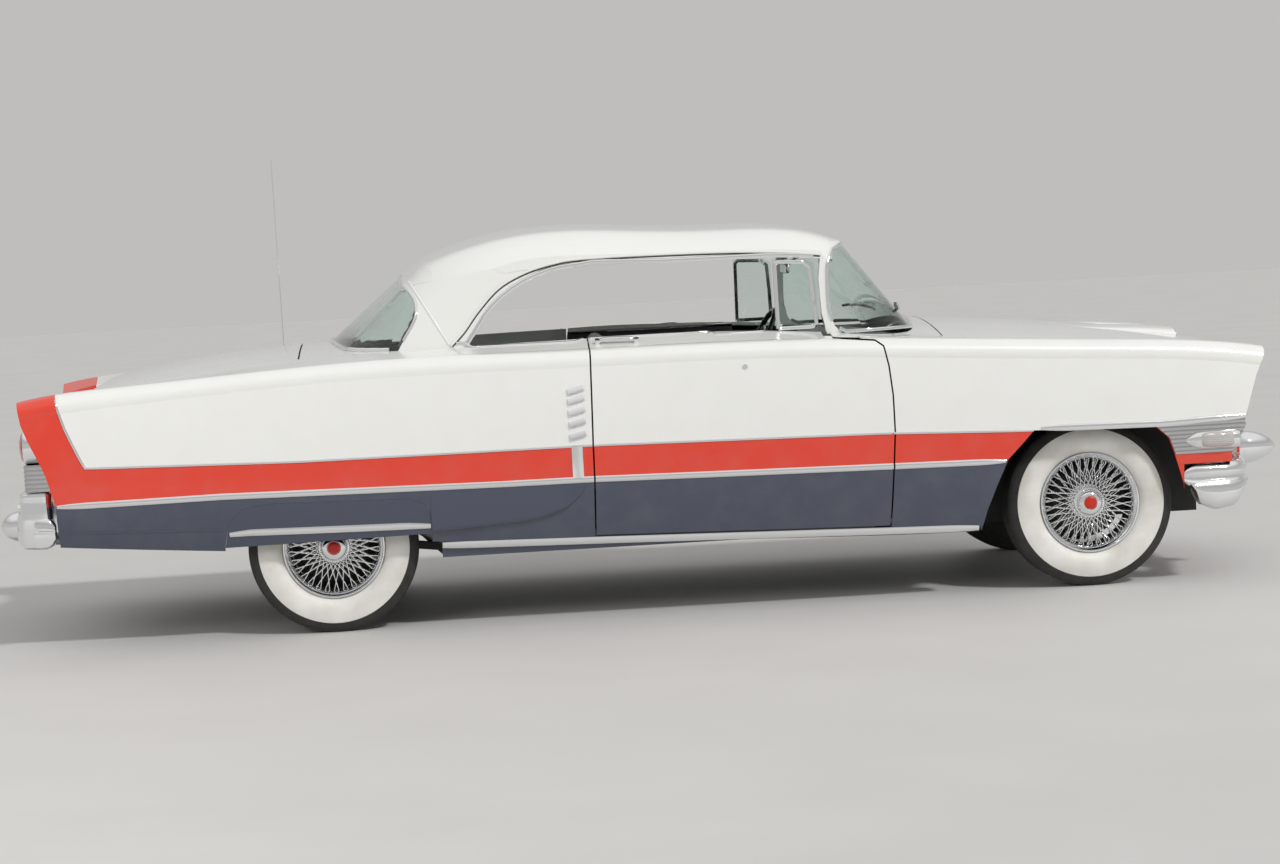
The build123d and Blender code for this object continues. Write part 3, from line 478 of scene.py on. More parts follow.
def whitewall():
    """White side wall with a little yellowing and scuffs."""
    f = Finish("tyre_whitewall", (0.74, 0.72, 0.67), 0.5)
    f.base(f.colour(f.ranged(f.noise(9, 5), 0, 1, 0.35, 0.8), (0.78, 0.77, 0.73),
                    (0.6, 0.58, 0.52)))
    f.bump(f.noise(250, 2), 0.15, 0.0005)
    return f.material


def satin(name, colour, spread, rough, metallic=0.0):
    """Satin paint, cast or moulded surface with uneven wear."""
    f = Finish(name, colour, rough, Metallic=metallic)
    dark = tuple(c * (1 - spread) for c in colour)
    light = tuple(min(1, c * (1 + spread)) for c in colour)
    f.base(f.colour(f.noise(15, 5), dark, light))
    f.rough(f.ranged(f.noise(30, 3), rough - 0.12, rough + 0.12))
    f.bump(f.noise(480, 2), 0.15, 0.0006)
    return f.material


def leather(name, colour):
    """Seat leather with a fine grain of cells and soft creases."""
    f = Finish(name, colour, 0.42, Coat_Weight=0.15, Coat_Roughness=0.3)
    cells = f.node("TexVoronoi", {"Vector": f.space, "Scale": 420.0},
                   feature="DISTANCE_TO_EDGE").outputs["Distance"]
    creases = f.noise(35, 5)
    dark = tuple(c * 0.78 for c in colour)
    f.base(f.colour(f.ranged(creases, 0, 1, 0.35, 0.75), dark, colour))
    f.rough(f.ranged(creases, 0.34, 0.52))
    f.bump(f.math("ADD", f.math("MULTIPLY", cells, 0.7), f.math("MULTIPLY", creases, 0.3)),
           0.35, 0.0012)
    return f.material


def cloth(name, colour, scale):
    """Woven or looped fabric."""
    f = Finish(name, colour, 0.9, Sheen_Weight=0.3, Sheen_Roughness=0.5)
    weave = f.node("TexWave", {"Vector": f.space, "Scale": scale, "Distortion": 2.0,
                               "Detail": 2.0}).outputs["Fac"]
    dark = tuple(c * 0.6 for c in colour)
    f.base(f.colour(f.math("MULTIPLY", weave, f.noise(60, 4)), dark, colour))
    f.bump(weave, 0.5, 0.001)
    return f.material


def lens(name, colour):
    """Moulded lamp lens with optic ribs inside."""
    f = Finish(name, colour, 0.08, Coat_Weight=1.0, Transmission_Weight=0.35)
    place = f.node("SeparateXYZ", {"Vector": f.space}).outputs
    waves = [f.math("SINE", f.math("MULTIPLY", place[axis], 700)) for axis in "YZ"]
    ribs = f.math("MULTIPLY", *waves)
    f.base(f.colour(f.ranged(ribs, 0, 1, -1, 1), tuple(c * 0.75 for c in colour), colour))
    f.bump(ribs, 0.25, 0.001)
    return f.material


PAINT = body_paint()
PAINT_WHITE = paint("paint_white", WHITE).material
PAINT_SLATE = paint("paint_slate", SLATE).material
PAINT_RED = paint("paint_red", RED).material
CHROME = chrome()
STEEL = chrome("brushed_trim", (0.55, 0.55, 0.56))
GLASS = glass("window_glass", (0.86, 0.94, 0.91))
LAMP_GLASS = glass("lamp_glass", (0.95, 0.97, 0.97))
RUBBER = rubber()
WHITEWALL = whitewall()
BLACK = satin("satin_black", (0.018, 0.018, 0.02), 0.4, 0.45)
UNDERSIDE = satin("underside_black", (0.03, 0.03, 0.03), 0.6, 0.7)
IRON = satin("engine_paint", (0.05, 0.1, 0.14), 0.4, 0.5)
PIPE = satin("pipe_steel", (0.25, 0.24, 0.23), 0.4, 0.5, 1.0)
PLASTIC = satin("gloss_black", (0.015, 0.015, 0.017), 0.3, 0.2)
WHITE_LEATHER = leather("leather_white", (0.66, 0.65, 0.61))
BLACK_LEATHER = leather("leather_black", (0.025, 0.025, 0.027))
CARPET = cloth("carpet", (0.03, 0.03, 0.033), 500)
HEADLINER = cloth("headliner", (0.55, 0.54, 0.5), 900)
RED_LENS = lens("red_lens", (0.55, 0.012, 0.008))
CLEAR_LENS = lens("clear_lens", (0.72, 0.68, 0.66))
RED_DISC = satin("red_enamel", (0.55, 0.02, 0.008), 0.2, 0.25)
# Near-black painted shade for the insides of holes and mouths
RECESS_SHADE = satin("painted_shade_recess", (0.004, 0.004, 0.004), 0.3, 0.8)


def dress_nodes():
    """Materials of the CAD pieces that stay."""
    groups = (
        (PAINT_WHITE, "hood trunk_lid nose_panel rear_deck_panel tail_panel cowl_panel roof"),
        (PAINT, "door_left door_right front_fender_left front_fender_right"
                " quarter_panel_left quarter_panel_right"),
        (PAINT_SLATE, "rear_wheel_skirts rocker_left rocker_right"),
        (GLASS, "windshield_glass backlight_glass vent_window_left vent_window_right"),
        (UNDERSIDE, "chassis_frame floor_pan inner_fenders firewall rear_bulkhead rear_axle"
                    " fuel_tank steering_knuckle_left steering_knuckle_right"),
        (IRON, "engine_block"), (PIPE, "exhaust_pipes"),
        (PLASTIC, "steering_column dashboard"),
        (CHROME, "front_bumper rear_bumper grille antenna"),
    )
    for material, nodes in groups:
        for node in nodes.split():
            materials = NODES[node].data.materials
            materials.clear()
            materials.append(material)


dress_nodes()


# Wheels

def tyre_shape():
    """Tyre with a white wall outside and ribbed tread."""
    wall = [(0.067, 0.2045), (0.074, 0.216), (0.088, 0.224), (0.0975, 0.24), (0.102, 0.262),
            (0.1015, 0.285), (0.098, 0.305), (0.0945, 0.317)]
    shoulder = [(0.0952, 0.319), (0.0925, 0.324), (0.088, 0.335), (0.082, 0.345),
                (0.075, 0.352)]
    tread = [(0.07, 0.356)]
    for y in (0.056, 0.028, 0.0, -0.028, -0.056):
        tread += [(y + 0.0045, 0.3575), (y + 0.003, 0.349), (y - 0.003, 0.349),
                  (y - 0.0045, 0.3575)]
    tread.append((-0.07, 0.356))
    inner = [(-y, r) for y, r in reversed(wall + shoulder)]
    black = [wall[-1], *shoulder, *tread, *inner, wall[0]]
    return Shape().join(turned(wall, 96), finish=1).join(turned(black, 96))


def spoke(start, end):
    """One wire spoke."""
    return tube([start, start.lerp(end, 0.5), end], 0.0026, 6, Y_AXIS)


def around(angle, y, radius):
    """A point on a circle about the wheel's axis."""
    return Vector((radius * sin(angle), y, radius * cos(angle)))


def wheel_shape():
    """Chrome wire wheel with a ribbed hub cap and a plain red disc."""
    shape = Shape()
    rim = ((0.08, 0.214), (0.085, 0.2125), (0.086, 0.207), (0.08, 0.203),
           (0.076, 0.196), (0.064, 0.19), (0.056, 0.186), (0.03, 0.18),
           (-0.02, 0.179), (-0.056, 0.186), (-0.08, 0.199), (-0.085, 0.211),
           (-0.078, 0.213), (-0.072, 0.203), (0.072, 0.203), (0.076, 0.213))
    shape.join(turned(rim, 72, closed=True))
    hub = ((-0.05, 0.058), (0.056, 0.052), (0.06, 0.066), (0.066, 0.068),
           (0.072, 0.064), (0.074, 0.056), (0.08, 0.054), (0.09, 0.046),
           (0.095, 0.036), (0.096, 0.03), (0.093, 0.027), (0.093, 0.001))
    shape.join(turned(hub, 48))
    flange = ((-0.01, 0.056), (-0.008, 0.074), (0.0, 0.076), (0.004, 0.056))
    shape.join(turned(flange, 48, closed=True))
    ribs = 40
    for i in range(ribs):
        angle = tau * i / ribs
        shape.join(tube([around(angle, 0.0735, 0.059), around(angle, 0.08, 0.0545),
                         around(angle, 0.088, 0.0475)], 0.0022, 5, Y_AXIS))
    count = 30
    for i in range(count):
        for slant in (-1, 1):
            angle = tau * (i + 0.25 * slant) / count
            shape.join(spoke(around(angle, 0.061, 0.064),
                             around(angle + slant * 0.42, 0.048, 0.185)))
            shape.join(spoke(around(angle, -0.002, 0.072),
                             around(angle - slant * 0.3, 0.024, 0.1795)))
    disc = ((0.0935, 0.0265), (0.0955, 0.024), (0.0975, 0.012), (0.098, 0.0005))
    shape.join(turned(disc, 36), finish=1)
    drum = ((-0.02, 0.056), (-0.018, 0.144), (-0.026, 0.15), (-0.03, 0.15),
            (-0.033, 0.156), (-0.042, 0.156), (-0.045, 0.15), (-0.056, 0.15))
    shape.join(turned(drum, 60), finish=2)
    return shape


def add_wheels():
    tyre, wheel = tyre_shape(), wheel_shape()
    for end, place in (("front", AXLE_FRONT), ("rear", AXLE_REAR)):
        for side, sign in SIDES:
            hub = Vector((place.x, place.y * sign, place.z))
            matrix = Matrix.Translation(hub) @ Matrix.Rotation(0 if sign > 0 else pi, 4, "Z")
            body = f"wheel_{end}_{side}"
            placed = tyre.placed(matrix)
            piece = make(f"whitewall_tyre_{end}_{side}", placed, [RUBBER, WHITEWALL], body,
                         30)
            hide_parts(f"tyre_{end}_{side}")
            placed = wheel.placed(matrix)
            piece = make(f"wire_wheel_{end}_{side}", placed, [CHROME, RED_DISC, UNDERSIDE], body)
            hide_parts(f"wheel_{end}_{side}")


add_wheels()


# Mouldings along the body

def split_strip(name, line, width, height, tips):
    """A moulding that crosses quarter panel, door and fender, cut at the door's gaps."""
    gap = 0.0035
    x0, x1 = line[0][0], line[-1][0]
    spans = (("rear", x0, DOOR_REAR_X - gap, "body", (tips[0], 1)),
             ("door", DOOR_REAR_X + gap, DOOR_FRONT_X - gap, "door_{}", (1, 1)),
             ("front", DOOR_FRONT_X + gap, x1, "body", (1, tips[1])))
    for label, a, b, body, ends in spans:
        shape = side_strip(trim_line(line, a, b), width, height, ends)
        make_pair(f"{name}_{label}", shape, CHROME, body)


def opening_line(roof):
    """A line just outside the window opening's edge, from the rear pillar's foot forwards."""
    line = []
    for z in spread(1.172, 1.365, 12):
        x = -0.45
        while at_roof(roof, x, z) is None:
            x -= 0.002
        line.append(Vector((x - 0.01, 0, z)))
    for x in spread(-0.555, 0.735, 27):
        line.append(Vector((x, 0, lowest_hit(roof, x, 1.36, 1.53) + 0.01)))
    return line


def at_roof(roof, x, z):
    """The roof's outer point at (x, z) on the left side, or None."""
    point = roof.ray_cast(Vector((x, FAR_OUT, z)), -Y_AXIS)[0]
    return point if point and point.y > 0.3 else None


def add_mouldings():
    split_strip("band_moulding", BAND_FOOT, 0.026, 0.009, (0.25, 0.25))
    split_strip("band_top_strip", BAND_TOP, 0.011, 0.005, (0.6, 0.5))
    for name, line, width, height, tips in (
            ("nose_moulding", NOSE_STRIP, 0.03, 0.01, (0.3, 0.4)),
            ("sill_moulding", SILL_STRIP, 0.032, 0.006, (0.7, 0.5)),
            ("skirt_lip", SKIRT_LIP, 0.03, 0.008, (0.5, 0.5))):
        make_pair(name, side_strip(line, width, height, tips), CHROME)
    roof = surface("roof")
    spots = [at_side(p.x, p.z, roof) for p in even(opening_line(roof), 0.03)]
    normals = softened([n for _, n in spots], 3)
    frame_shape = swept([p for p, _ in spots], normals, bead(0.02, 0.008))
    make_pair("window_frame", frame_shape, CHROME)


add_mouldings()


# Gills behind the door, handles and locks

def add_gills():
    gills = Shape()
    for z in (0.971, 0.93, 0.882, 0.834, 0.782):
        line = ((-0.352, z - 0.008), (-0.285, z + 0.008))
        path, normals = along_side(line, 0.012)
        section = ((-0.011, -0.001), (-0.011, 0.004), (0.0, 0.009), (0.011, 0.012),
                   (0.012, -0.001))
        gills.join(swept(path, normals, section))
    bar, bar_normals = [], []
    for z in (0.603, 0.64, 0.68, 0.734):
        point, normal = at_side(-0.325, z)
        bar.append(point)
        bar_normals.append(normal)
    gills.join(swept(bar, bar_normals, bead(0.046, 0.01)))
    make_pair("side_gills", gills, CHROME)


def add_door_handles():
    handle = Shape()
    path, normals = along_side(((-0.209, 1.152), (-0.045, 1.15)), 0.01)
    lifted = [p + n * (0.024 - 0.02 * abs(2 * i / (len(path) - 1) - 1) ** 6)
              for i, (p, n) in enumerate(zip(path, normals))]
    handle.join(swept(lifted, normals, [(0.009 * cos(tau * i / 10), 0.006 * sin(tau * i / 10))
                                        for i in range(10)]))
    for index in (0, -1):
        base = path[index]
        handle.join(tube([base, base + normals[index] * 0.02], 0.011, 12, X_AXIS))
    lock = at_side(0.399, 1.028)[0]
    handle.join(tube([lock - Vector((0, 0.002, 0)), lock + Vector((0, 0.006, 0))], 0.01, 16,
                     X_AXIS))
    make_pair("door_handle", handle, CHROME, "door_{}")


add_gills()
add_door_handles()


# Rear fender bulge

BULGE_EDGE = ((-0.944, 0.417), (-0.871, 0.418), (-0.64, 0.43), (-0.493, 0.446),
              (-0.385, 0.482), (-0.32, 0.535), (-0.285, 0.584))
TUCK_LINE = ((-2.478, 0.492), (-1.802, 0.468))
BULGE_DEPTH = 0.016
BULGE_TOP_Z = 0.588


def add_rear_bulge():
    """The swelling of the rear fender in front of its wheel."""
    rows = 12
    rings = []
    for point in even(standing(BULGE_EDGE), 0.02):
        high = BULGE_TOP_Z - point.z
        ring = []
        for row in range(rows + 1):
            share = row / rows
            z = point.z + high * share
            out = BULGE_DEPTH * (1 - share) ** 1.4 * min(1, high / 0.1) + 0.0006
            ring.append(at_side(point.x, z)[0] + Vector((0, out, 0)))
        foot = at_side(point.x, point.z)[0]
        ring.insert(0, foot + Vector((0, (ring[0].y - foot.y) * 0.6, -0.006)))
        ring.insert(0, foot + Vector((0, -0.002, -0.007)))
        rings.append(ring)
    make_pair("rear_fender_bulge", skin(rings, closed=False), PAINT_SLATE,
              sharp=60)
    crease = side_strip(TUCK_LINE, 0.01, 0.003, (0.4, 0.6))
    make_pair("tuck_line", crease, PAINT_SLATE)


add_rear_bulge()


# Ribbed nose panels and parking lamps

def nose_edge_x(z):
    """The front edge of the fender at a height."""
    return value_at(((0.24, 2.445), (0.549, 2.467), (0.661, 2.526), (0.682, 2.523),
                     (0.719, 2.538)), z)


def arch_x(z):
    """The front wheel arch's front edge at a height."""
    return value_at(((0.423, 2.254), (0.555, 2.214), (0.625, 2.19), (0.69, 2.12)), z)


def add_nose_ribs():
    rings = []
    for row, z in enumerate(spread(0.552, 0.6905, 49)):
        a, b = arch_x(z) + 0.004, nose_edge_x(z) - 0.001
        rib = 0.003 + 0.0022 * (0.5 - 0.5 * cos(tau * row / 6))
        ring = [at_side(x, z)[0] + Y_AXIS * rib for x in spread(a, b, 20)]
        for y in (ring[-1].y - 0.002, 0.85, 0.75, 0.7):
            ring.append(Vector((b + rib + 0.001, y, z)))
        rings.append(ring)
    make_pair("nose_ribs", skin(rings, closed=False), STEEL, sharp=60)


def add_parking_lamps():
    stations = ((2.262, 0.004, 0.004), (2.275, 0.016, 0.014), (2.292, 0.028, 0.024),
                (2.312, 0.037, 0.03), (2.345, 0.04, 0.032), (2.42, 0.04, 0.032),
                (2.48, 0.04, 0.032), (2.497, 0.036, 0.028), (2.505, 0.02, 0.012))
    rings = []
    centre_z = 0.607
    for x, high, out in stations:
        base = at_side(min(x, 2.49), centre_z)[0].y
        ring = []
        for i in range(16):
            angle = pi * i / 15
            ring.append(Vector((x, base - 0.002 + out * sin(angle), centre_z - high * cos(angle))))
        rings.append(ring)
    make_pair("parking_pod", skin(rings), CHROME)
    rings = []
    for x, high, out in ((2.322, 0.014, 0.026), (2.33, 0.025, 0.031), (2.35, 0.031, 0.036),
                         (2.41, 0.032, 0.038), (2.455, 0.031, 0.036), (2.468, 0.026, 0.03)):
        base = at_side(x, centre_z)[0].y
        rings.append([Vector((x, base + out * sin(pi * (0.12 + 0.76 * i / 15)) ** 0.6,
                              centre_z - high * cos(pi * i / 15))) for i in range(16)])
    make_pair("parking_lens", skin(rings), CLEAR_LENS)


def add_front_pan():
    """The painted pan between the nose panel's foot and the bumper."""
    nose = surface("nose_panel")
    rings = []
    for i in range(41):
        y = 0.685 * (i / 20 - 1)
        foot = nose.ray_cast(Vector((3, y, 0.548)), -X_AXIS)[0].x
        bar = value_at([(along, x) for x, along in FRONT_PLAN], abs(y)) - 0.05
        line = ((foot - 0.005, 0.552), (foot + 0.012, 0.538), ((foot + bar) / 2, 0.512),
                (bar - 0.012, 0.496), (bar, 0.47))
        under = [(x - 0.003, z - 0.004) for x, z in reversed(line)]
        rings.append([Vector((x, y, z)) for x, z in (*line, *under)])
    make("front_pan", skin(rings), PAINT_RED)


add_nose_ribs()
add_parking_lamps()
add_front_pan()


# Headlamps and tail lamps

def add_headlamps():
    bezel = ((-0.05, 0.096), (0.004, 0.0965), (0.014, 0.094), (0.018, 0.088), (0.012, 0.083),
             (0.002, 0.082), (-0.05, 0.082))
    glass_profile = ((0.0, 0.083), (0.01, 0.078), (0.02, 0.06), (0.026, 0.035),
                     (0.028, 0.0005))
    bowl = ((0.0, 0.082), (-0.015, 0.074), (-0.035, 0.052), (-0.045, 0.025), (-0.047, 0.0005))
    place = Matrix.Translation(HEADLAMP)
    ring = turned(bezel, 48, "X", closed=True)
    ring.join(turned(bowl, 48, "X"))
    pieces = make_pair("headlamp_ring", ring.placed(place), CHROME)
    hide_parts("headlamps")
    cover = turned(glass_profile, 48, "X")
    back = [(a - 0.003, r) for a, r in glass_profile]
    cover.join(turned(back, 48, "X"))
    make_pair("headlamp_glass", cover.placed(place), LAMP_GLASS)


def add_tail_lamps():
    centre_y, half_y = 0.8525, 0.0525
    centre_z, half_z = 0.852, 0.073

    def stack(stations):
        """Ovals of a given size along the car."""
        return skin([[Vector((x, centre_y + half_y * size * cos(tau * i / 24),
                              centre_z + half_z * size * sin(tau * i / 24)))
                      for i in range(24)] for x, size in stations])

    housing = stack(((-2.545, 1.0), (-2.6, 1.0), (-2.612, 0.97), (-2.616, 0.9),
                     (-2.606, 0.86)))
    red = stack(((-2.604, 0.87), (-2.618, 0.84), (-2.626, 0.7), (-2.631, 0.45), (-2.632, 0.1)))
    rings = []
    for step, z in enumerate(spread(0.668, 0.78, 25)):
        out = 0.0035 * (0.5 - 0.5 * cos(tau * step / 4))
        left, right = 0.905 + out * 0.5, 0.8 - out * 0.5
        rings.append([Vector((x, y, z)) for x, y in (
            (-2.5, left), (-2.6, left), (-2.614 - out, 0.89), (-2.618 - out, centre_y),
            (-2.614 - out, 0.815), (-2.6, right), (-2.5, right))])
    pieces = make_pair("tail_lamp_housing", housing, CHROME)
    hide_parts("tail_lamps")
    make_pair("tail_lamp_red", red, RED_LENS)
    make_pair("tail_lamp_ribs", skin(rings), STEEL, sharp=60)


add_headlamps()
add_tail_lamps()


# Bumpers

REAR_PLAN = ((-2.712, 0.0), (-2.708, 0.3), (-2.696, 0.56), (-2.66, 0.8),
             (-2.6, 0.915), (-2.5, 0.94))
FRONT_BLADE = ((-0.048, 0.405), (-0.01, 0.405), (0.0, 0.412), (0.004, 0.424),
               (-0.002, 0.436), (-0.01, 0.441), (-0.002, 0.447), (0.006, 0.462),
               (0.004, 0.482), (-0.006, 0.499), (-0.022, 0.507), (-0.048, 0.505))
REAR_BLADE = ((-0.048, 0.43), (-0.012, 0.43), (0.0, 0.44), (0.005, 0.47),
              (0.004, 0.5), (-0.004, 0.508), (-0.004, 0.516), (0.003, 0.524),
              (0.001, 0.548), (-0.01, 0.56), (-0.048, 0.56))
LOBE_FOOT = ((2.277, 0.421), (2.319, 0.332), (2.392, 0.305), (2.486, 0.317), (2.556, 0.425))
LOBE_TOP_Z = 0.43
BUMPER_CONE_Y = 0.5
TOWER_Y = 0.836
PORT_Z = 0.598


def plan_line(plan, per_span):
    """A plan line from the car's right end to its left end, with outward directions."""
    half = curve([(x, y, 0) for x, y in plan], per_span)
    line = [Vector((p.x, -p.y, 0)) for p in reversed(half[1:])] + half
    last = len(line) - 1
    outward = []
    for i in range(len(line)):
        ahead = (line[min(i + 1, last)] - line[max(i - 1, 0)]).normalized()
        out = Vector((ahead.y, -ahead.x, 0))
        outward.append(out if plan[0][0] > 0 else -out)
    return line, outward


def blade(plan, section):
    """A bumper bar with a section (out, z) and rounded ends."""
    line, outward = plan_line(plan, 8)
    mid_out = sum(o for o, _ in section) / len(section)
    mid_z = sum(z for _, z in section) / len(section)
    rings = []
    for i, (point, out) in enumerate(zip(line, outward)):
        from_end = min(i, len(line) - 1 - i)
        size = (0.45, 0.78, 0.93, 1)[min(from_end, 3)]
        rings.append([point + out * (mid_out + (o - mid_out) * size)
                      + Vector((0, 0, mid_z + (z - mid_z) * size)) for o, z in section])
    return skin(rings)


def bumper_lobe():
    """The deep rounded end below the front bumper's left half."""
    line, outward = plan_line(FRONT_PLAN, 12)
    rings = []
    for point, out in zip(line, outward):
        if point.y > 0 and LOBE_FOOT[0][0] < point.x < LOBE_FOOT[-1][0]:
            foot = min(value_at(LOBE_FOOT, point.x), 0.418)
            high = LOBE_TOP_Z - foot
            section = ((-0.055, 0), (-0.004, 0), (0.006, 0.12), (0.013, 0.35), (0.011, 0.65),
                       (-0.003, 0.88), (-0.026, 1), (-0.055, 1))
            rings.append([point + out * o + Z_AXIS * (LOBE_TOP_Z - down * high)
                          for o, down in section])
    return skin(rings)


def rounded_tower(x, y, half_x, half_y, levels):
    """A tall block of rounded plan. Levels are (z, size)."""
    def eased(value):
        return sqrt(abs(value)) * (1 if value > 0 else -1)

    rings = []
    for z, size in levels:
        rings.append([Vector((x + half_x * size * eased(cos(tau * i / 40)),
                              y + half_y * size * eased(sin(tau * i / 40)), z))
                      for i in range(40)])
    return skin(rings)


def add_front_bumper():
    front = make("front_bumper_bar", blade(FRONT_PLAN, FRONT_BLADE), CHROME)
    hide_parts("front_bumper")
    make_pair("front_bumper_end", bumper_lobe(), CHROME)
    profile = ((2.59, 0.07), (2.6, 0.08), (2.612, 0.081), (2.622, 0.074), (2.65, 0.072),
               (2.69, 0.065), (2.725, 0.053), (2.752, 0.037), (2.769, 0.021), (2.777, 0.01),
               (2.779, 0.0005))
    cone = turned(profile, 48, "X")
    make_pair("front_cone", cone.placed(Matrix.Translation((0, BUMPER_CONE_Y, 0.53))), CHROME)


def add_rear_bumper():
    rear = make("rear_bumper_bar", blade(REAR_PLAN, REAR_BLADE), CHROME)
    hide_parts("rear_bumper")
    profile = ((-2.66, 0.064), (-2.69, 0.07), (-2.7, 0.066), (-2.722, 0.06),
               (-2.745, 0.049), (-2.763, 0.033), (-2.774, 0.018), (-2.779, 0.0005))
    cone = turned(profile, 48, "X")
    make_pair("rear_cone", cone.placed(Matrix.Translation((0, BUMPER_CONE_Y, 0.497))), CHROME)
    tower = rounded_tower(-2.577, TOWER_Y, 0.068, 0.092, (
        (0.432, 0.8), (0.438, 0.93), (0.455, 1.0), (0.56, 1.0), (0.612, 0.985),
        (0.63, 0.96), (0.636, 0.97), (0.648, 0.99), (0.658, 0.97), (0.663, 0.88)))
    make_pair("rear_bumper_tower", tower, CHROME)


def add_exhaust_ports():
    rows, hole = [], []
    for i in range(32):
        c, s = cos(tau * i / 32), sin(tau * i / 32)
        rows.append([Vector((x, TOWER_Y + 0.052 * size * c, PORT_Z + 0.024 * size * s))
                     for x, size in ((-2.64, 1.0), (-2.652, 0.97), (-2.653, 0.84), (-2.642, 0.8))])
        hole.append(Vector((-2.6435, TOWER_Y + 0.043 * c, PORT_Z + 0.02 * s)))
    port = skin(rows, closed=False, ends=False, loop=True)
    # The disc in the hole is near-black painted shade for the inside of the port
    port.join(Shape(hole, [range(len(hole))]), finish=1)
    make_pair("exhaust_port", port, [CHROME, RECESS_SHADE])


def add_rear_plate():
    plate = block((-2.7, -0.152, 0.562), (-2.694, 0.152, 0.69), 0.003)
    make("blank_plate_rear", plate, PAINT_WHITE)
    border = [(-2.701, y, z) for y, z in ((-0.154, 0.56), (0.154, 0.56), (0.154, 0.692),
                                          (-0.154, 0.692), (-0.154, 0.56))]
    make("plate_frame_rear", tube(even(border, 0.03), 0.004), CHROME)


add_front_bumper()
add_rear_bumper()
add_exhaust_ports()
add_rear_plate()


# Windows

def cast(tree, start, way):
    """Point and outward normal where a ray meets a surface, or None."""
    point, normal, _, _ = tree.ray_cast(Vector(start), Vector(way))
    if point is None:
        return None
    return point, normal if normal.dot(Vector(way)) < 0 else -normal


def from_side(tree, line):
    """Surface spots where an (x, z) line falls on a surface seen from the left."""
    return [cast(tree, (p.x, FAR_OUT, p.z), -Y_AXIS) for p in line]


def strip_of(spots, section):
    """A moulding of any section through surface spots."""
    spots = [spot for spot in spots if spot]
    return swept([p for p, _ in spots], softened([n for _, n in spots]), section)


def strip_through(spots, width, height):
    """A rounded moulding through surface spots."""
    return strip_of(spots, bead(width, height))


def screen_edges(glass_node, pivot_x, way, widest):
    """Spots along the foot and along the top of a curved screen, from side to side."""
    screen = surface(glass_node)
    panels = surface("roof", "cowl_panel", "rear_deck_panel", "hood", "trunk_lid", "door_left",
                     "front_fender_left", "quarter_panel_left")
    foot, top = [], []
    for i in range(41):
        angle = widest * i / 40
        out = Vector((way * cos(angle), sin(angle), 0))
        start = Vector((pivot_x, 0, 0)) + out * 3

        def seen(z):
            at = start + Vector((0, 0, z))
            glass_hit, panel_hit = screen.ray_cast(at, -out), panels.ray_cast(at, -out)
            return glass_hit[0] is not None and (panel_hit[0] is None
                                                 or glass_hit[3] < panel_hit[3])

        heights = [1.1 + 0.0015 * k for k in range(300)]
        shown = [z for z in heights if seen(z)]
        if shown:
            foot.append(cast(screen, start + Vector((0, 0, shown[0] + 0.005)), -out))
            top.append(cast(screen, start + Vector((0, 0, shown[-1] - 0.004)), -out))
    return both_ways(foot), both_ways(top)


def both_ways(spots):
    """Surface spots from the centre line outwards, with their mirror images before them."""
    spots = [spot for spot in spots if spot]
    flip = Vector((1, -1, 1))
    return [(p * flip, n * flip) for p, n in reversed(spots[1:])] + spots


def add_screen_trim():
    for name, node, pivot_x, way, widest in (
            ("windshield", "windshield_glass", 0.5, 1, 1.18),
            ("backlight", "backlight_glass", -0.7, -1, 1.1)):
        foot, top = screen_edges(node, pivot_x, way, widest)
        make(f"{name}_foot_strip", strip_through(foot, 0.018, 0.01), CHROME)
        make(f"{name}_top_strip", strip_through(top, 0.016, 0.008), CHROME)

    lines = (
        ("windshield_side_strip",
         ("windshield_glass", "roof", "cowl_panel", "front_fender_left"),
         ((0.818, 1.492), (0.797, 1.445), (0.789, 1.373), (0.788, 1.25), (0.8, 1.195)),
         0.016, 0.008, CHROME, "chrome"),
        ("backlight_side_strip", ("backlight_glass", "roof", "quarter_panel_left"),
         ((-1.004, 1.43), (-0.975, 1.395), (-0.959, 1.352), (-0.968, 1.29), (-1.02, 1.205)),
         0.014, 0.007, CHROME, "chrome"),
        ("rear_pillar_seam", ("roof",), PILLAR_SEAM, 0.01, 0.004, PAINT_WHITE, "body_paint"),
    )
    for name, nodes, line, width, height, material, slot in lines:
        path = curve(standing(line), 6)
        strip = strip_through(from_side(surface(*nodes), path), width, height)
        make_pair(name, strip, material)


def add_vent_frames():
    vent = standing((
        (0.568, 1.172), (0.568, 1.44), (0.58, 1.455), (0.69, 1.45), (0.718, 1.428),
        (0.727, 1.3), (0.732, 1.185), (0.715, 1.172), (0.568, 1.172)))
    spots = from_side(surface("vent_window_left"), even(vent, 0.012))
    make_pair("vent_frame", strip_through(spots, 0.016, 0.006), CHROME, "door_{}")


def add_drip_rails():
    spots = from_side(surface("roof"), curve(standing(DRIP_LINE), 5))
    shadow = [(u + 0.0085, v) for u, v in bead(0.005, 0.003)]
    make_pair("drip_shadow", strip_of(spots, shadow), RUBBER)
    make_pair("drip_rail", strip_through(spots, 0.012, 0.009), PAINT_WHITE)


def add_sill_strips():
    sill = []
    for x in spread(-0.8, 0.5, 40):
        for z in (1.185, 1.175, 1.165, 1.155):
            spot = cast(LEFT_SIDE, (x, FAR_OUT, z), -Y_AXIS)
            if spot and 0.76 < spot[0].y < 0.9:
                sill.append(spot)
                break
    doors = [spot for spot in sill if spot[0].x > DOOR_REAR_X + 0.004]
    quarters = [spot for spot in sill if spot[0].x < DOOR_REAR_X - 0.004]
    make_pair("door_sill_strip", strip_through(doors, 0.014, 0.006), CHROME, "door_{}")
    make_pair("quarter_sill_strip", strip_through(quarters, 0.014, 0.006), CHROME)


add_screen_trim()
add_vent_frames()
add_drip_rails()
add_sill_strips()


# Hood scoops and wipers

ABOVE = 1.8
WIPER_SECTION = ((-0.006, -0.005), (-0.004, 0.004), (0.004, 0.004), (0.006, -0.005))


